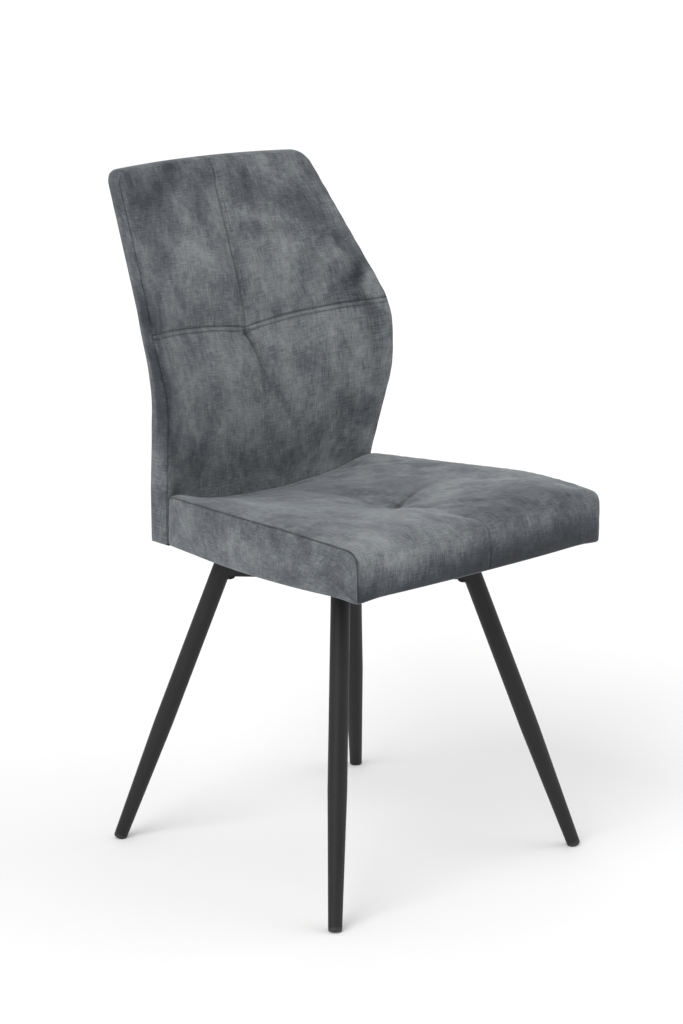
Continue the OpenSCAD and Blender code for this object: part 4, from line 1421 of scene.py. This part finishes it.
@dataclass
class Upholstery:
    """The two cushions and their threads."""

    finishes: Finishes

    def build(self) -> None:
        """Builds the cushions, lays their threads, and hides the plain solids they stand for."""
        self.seat()
        self.back()

    def seat(self) -> None:
        """Builds the seat cushion."""
        piece = SeatCushion().build(self.finishes.by_slot["grey_fabric"])
        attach(piece, BODY)
        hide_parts("seat_cover_top", "seat_band_left", "seat_band_right", "seat_foam")
        log.info("%s: %d points", piece.name, len(piece.data.vertices))
        self.tie(Tie("seat_tuft_cord", "seat_tuft_tie", Draw.UP, drawn=20.0))

    def back(self) -> None:
        """Builds the back cushion and its topstitching."""
        shape = BackCushion()
        piece = shape.build(self.finishes.by_slot["grey_fabric"])
        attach(piece, BODY)
        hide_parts("back_panel_upper_left", "back_panel_upper_right",
                    "back_panel_lower_left", "back_panel_lower_right", "back_band_left",
                    "back_band_right", "back_cover_rear", "back_foam_front", "back_foam_rear")
        log.info("%s: %d points", piece.name, len(piece.data.vertices))
        for name, line in (("back_cross_topstitch", shape.cross_line()),
                           ("back_centre_topstitch", shape.centre_line())):
            stitches = Topstitch(name).build(piece, line, self.finishes.thread)
            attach(stitches, BODY)
            log.info("%s: %d points", name, len(stitches.data.vertices))
        self.tie(Tie("back_tuft_cord", "back_tuft_tie", Draw.FORWARDS, drawn=17.0))

    def tie(self, tie: Tie) -> None:
        """Builds a tuft's cord and hides the plain solid it stands for.

        Args:
            tie: The cord.
        """
        piece = tie.build(self.finishes.by_slot["tie_cord"])
        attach(piece, BODY)
        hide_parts(tie.node)
        log.info("%s: %d points", piece.name, len(piece.data.vertices))


@dataclass(frozen=True)
class Camera:
    """The camera, on a line to a target inside the chair."""

    azimuth: float = -42.403
    elevation: float = 15.377
    distance: float = 3.6922
    target: tuple[float, float, float] = (0.0, -0.01646, 0.42525)
    lens: float = 97.08
    shift: tuple[float, float] = (-0.00465, 0.0306)

    def build(self) -> None:
        """Makes the camera and gives it to the scene."""
        data = bpy.data.cameras.new("camera")
        data.lens = self.lens
        data.shift_x, data.shift_y = self.shift
        camera = bpy.data.objects.new("camera", data)
        bpy.context.scene.collection.objects.link(camera)
        direction = away(self.azimuth, self.elevation)
        camera.location = Vector(self.target) + direction * self.distance
        camera.rotation_euler = (-direction).to_track_quat("-Z", "Y").to_euler()
        bpy.context.scene.camera = camera


def away(azimuth: float, elevation: float) -> Vector:
    """Returns the direction of a place round the chair: 0 degrees is in front, positive to +X."""
    turn, rise = math.radians(azimuth), math.radians(elevation)
    return Vector((math.sin(turn) * math.cos(rise), -math.cos(turn) * math.cos(rise),
                   math.sin(rise)))


@dataclass(frozen=True)
class SoftLight:
    """A broad soft light from far off."""

    name: str
    azimuth: float
    elevation: float
    strength: float
    breadth: float = 50.0
    colour: Colour = (1.0, 1.0, 1.0)

    def build(self) -> None:
        """Makes the light."""
        data = bpy.data.lights.new(self.name, "SUN")
        data.angle = math.radians(self.breadth)
        data.energy = self.strength
        data.color = self.colour
        light = bpy.data.objects.new(self.name, data)
        bpy.context.scene.collection.objects.link(light)
        direction = away(self.azimuth, self.elevation)
        light.location = direction * 4.0
        light.rotation_euler = (-direction).to_track_quat("-Z", "Y").to_euler()


class Studio:
    """A pale floor, soft light from all round, and the camera."""

    FLOOR_REACH = 30.0
    SURROUNDINGS = 0.75
    LIGHTS = (
        SoftLight("key_light", -78.0, 42.0, 1.45, 40.0, (1.0, 0.996, 0.985)),
        SoftLight("fill_light", 55.0, 38.0, 0.55),
    )

    def build(self) -> None:
        """Makes the floor, the lights and the surroundings."""
        form = bmesh.new()
        bmesh.ops.create_grid(form, x_segments=8, y_segments=8, size=self.FLOOR_REACH)
        shader = Shader("pale_floor")
        cloudy = shader.noise(shader.coordinates((0.6, 0.6, 0.6)), detail=1.0)
        finish = shader.finish({
            "Base Color": shader.ramp(
                cloudy, [(0.3, (0.93, 0.93, 0.93)), (0.7, (0.95, 0.95, 0.95))]),
            "Roughness": 0.7,
        })
        object_of("floor", form, finish)
        for light in self.LIGHTS:
            light.build()
        world = bpy.data.worlds.new("studio")
        world.use_nodes = True
        background = world.node_tree.nodes["Background"]
        background.inputs["Color"].default_value = (1.0, 1.0, 1.0, 1.0)
        background.inputs["Strength"].default_value = self.SURROUNDINGS
        bpy.context.scene.world = world
        bpy.context.scene.view_settings.view_transform = "Standard"
        Camera().build()


def main() -> None:
    """Builds the studio, dresses the frame and upholsters the chair."""
    logging.basicConfig(level=logging.INFO, format="%(name)s: %(message)s")
    Studio().build()
    finishes = Finishes()
    finishes.dress_frame()
    log.info("frame dressed: %d nodes", len(frame["nodes"]))
    Upholstery(finishes).build()


if __name__ == "__main__":
    main()
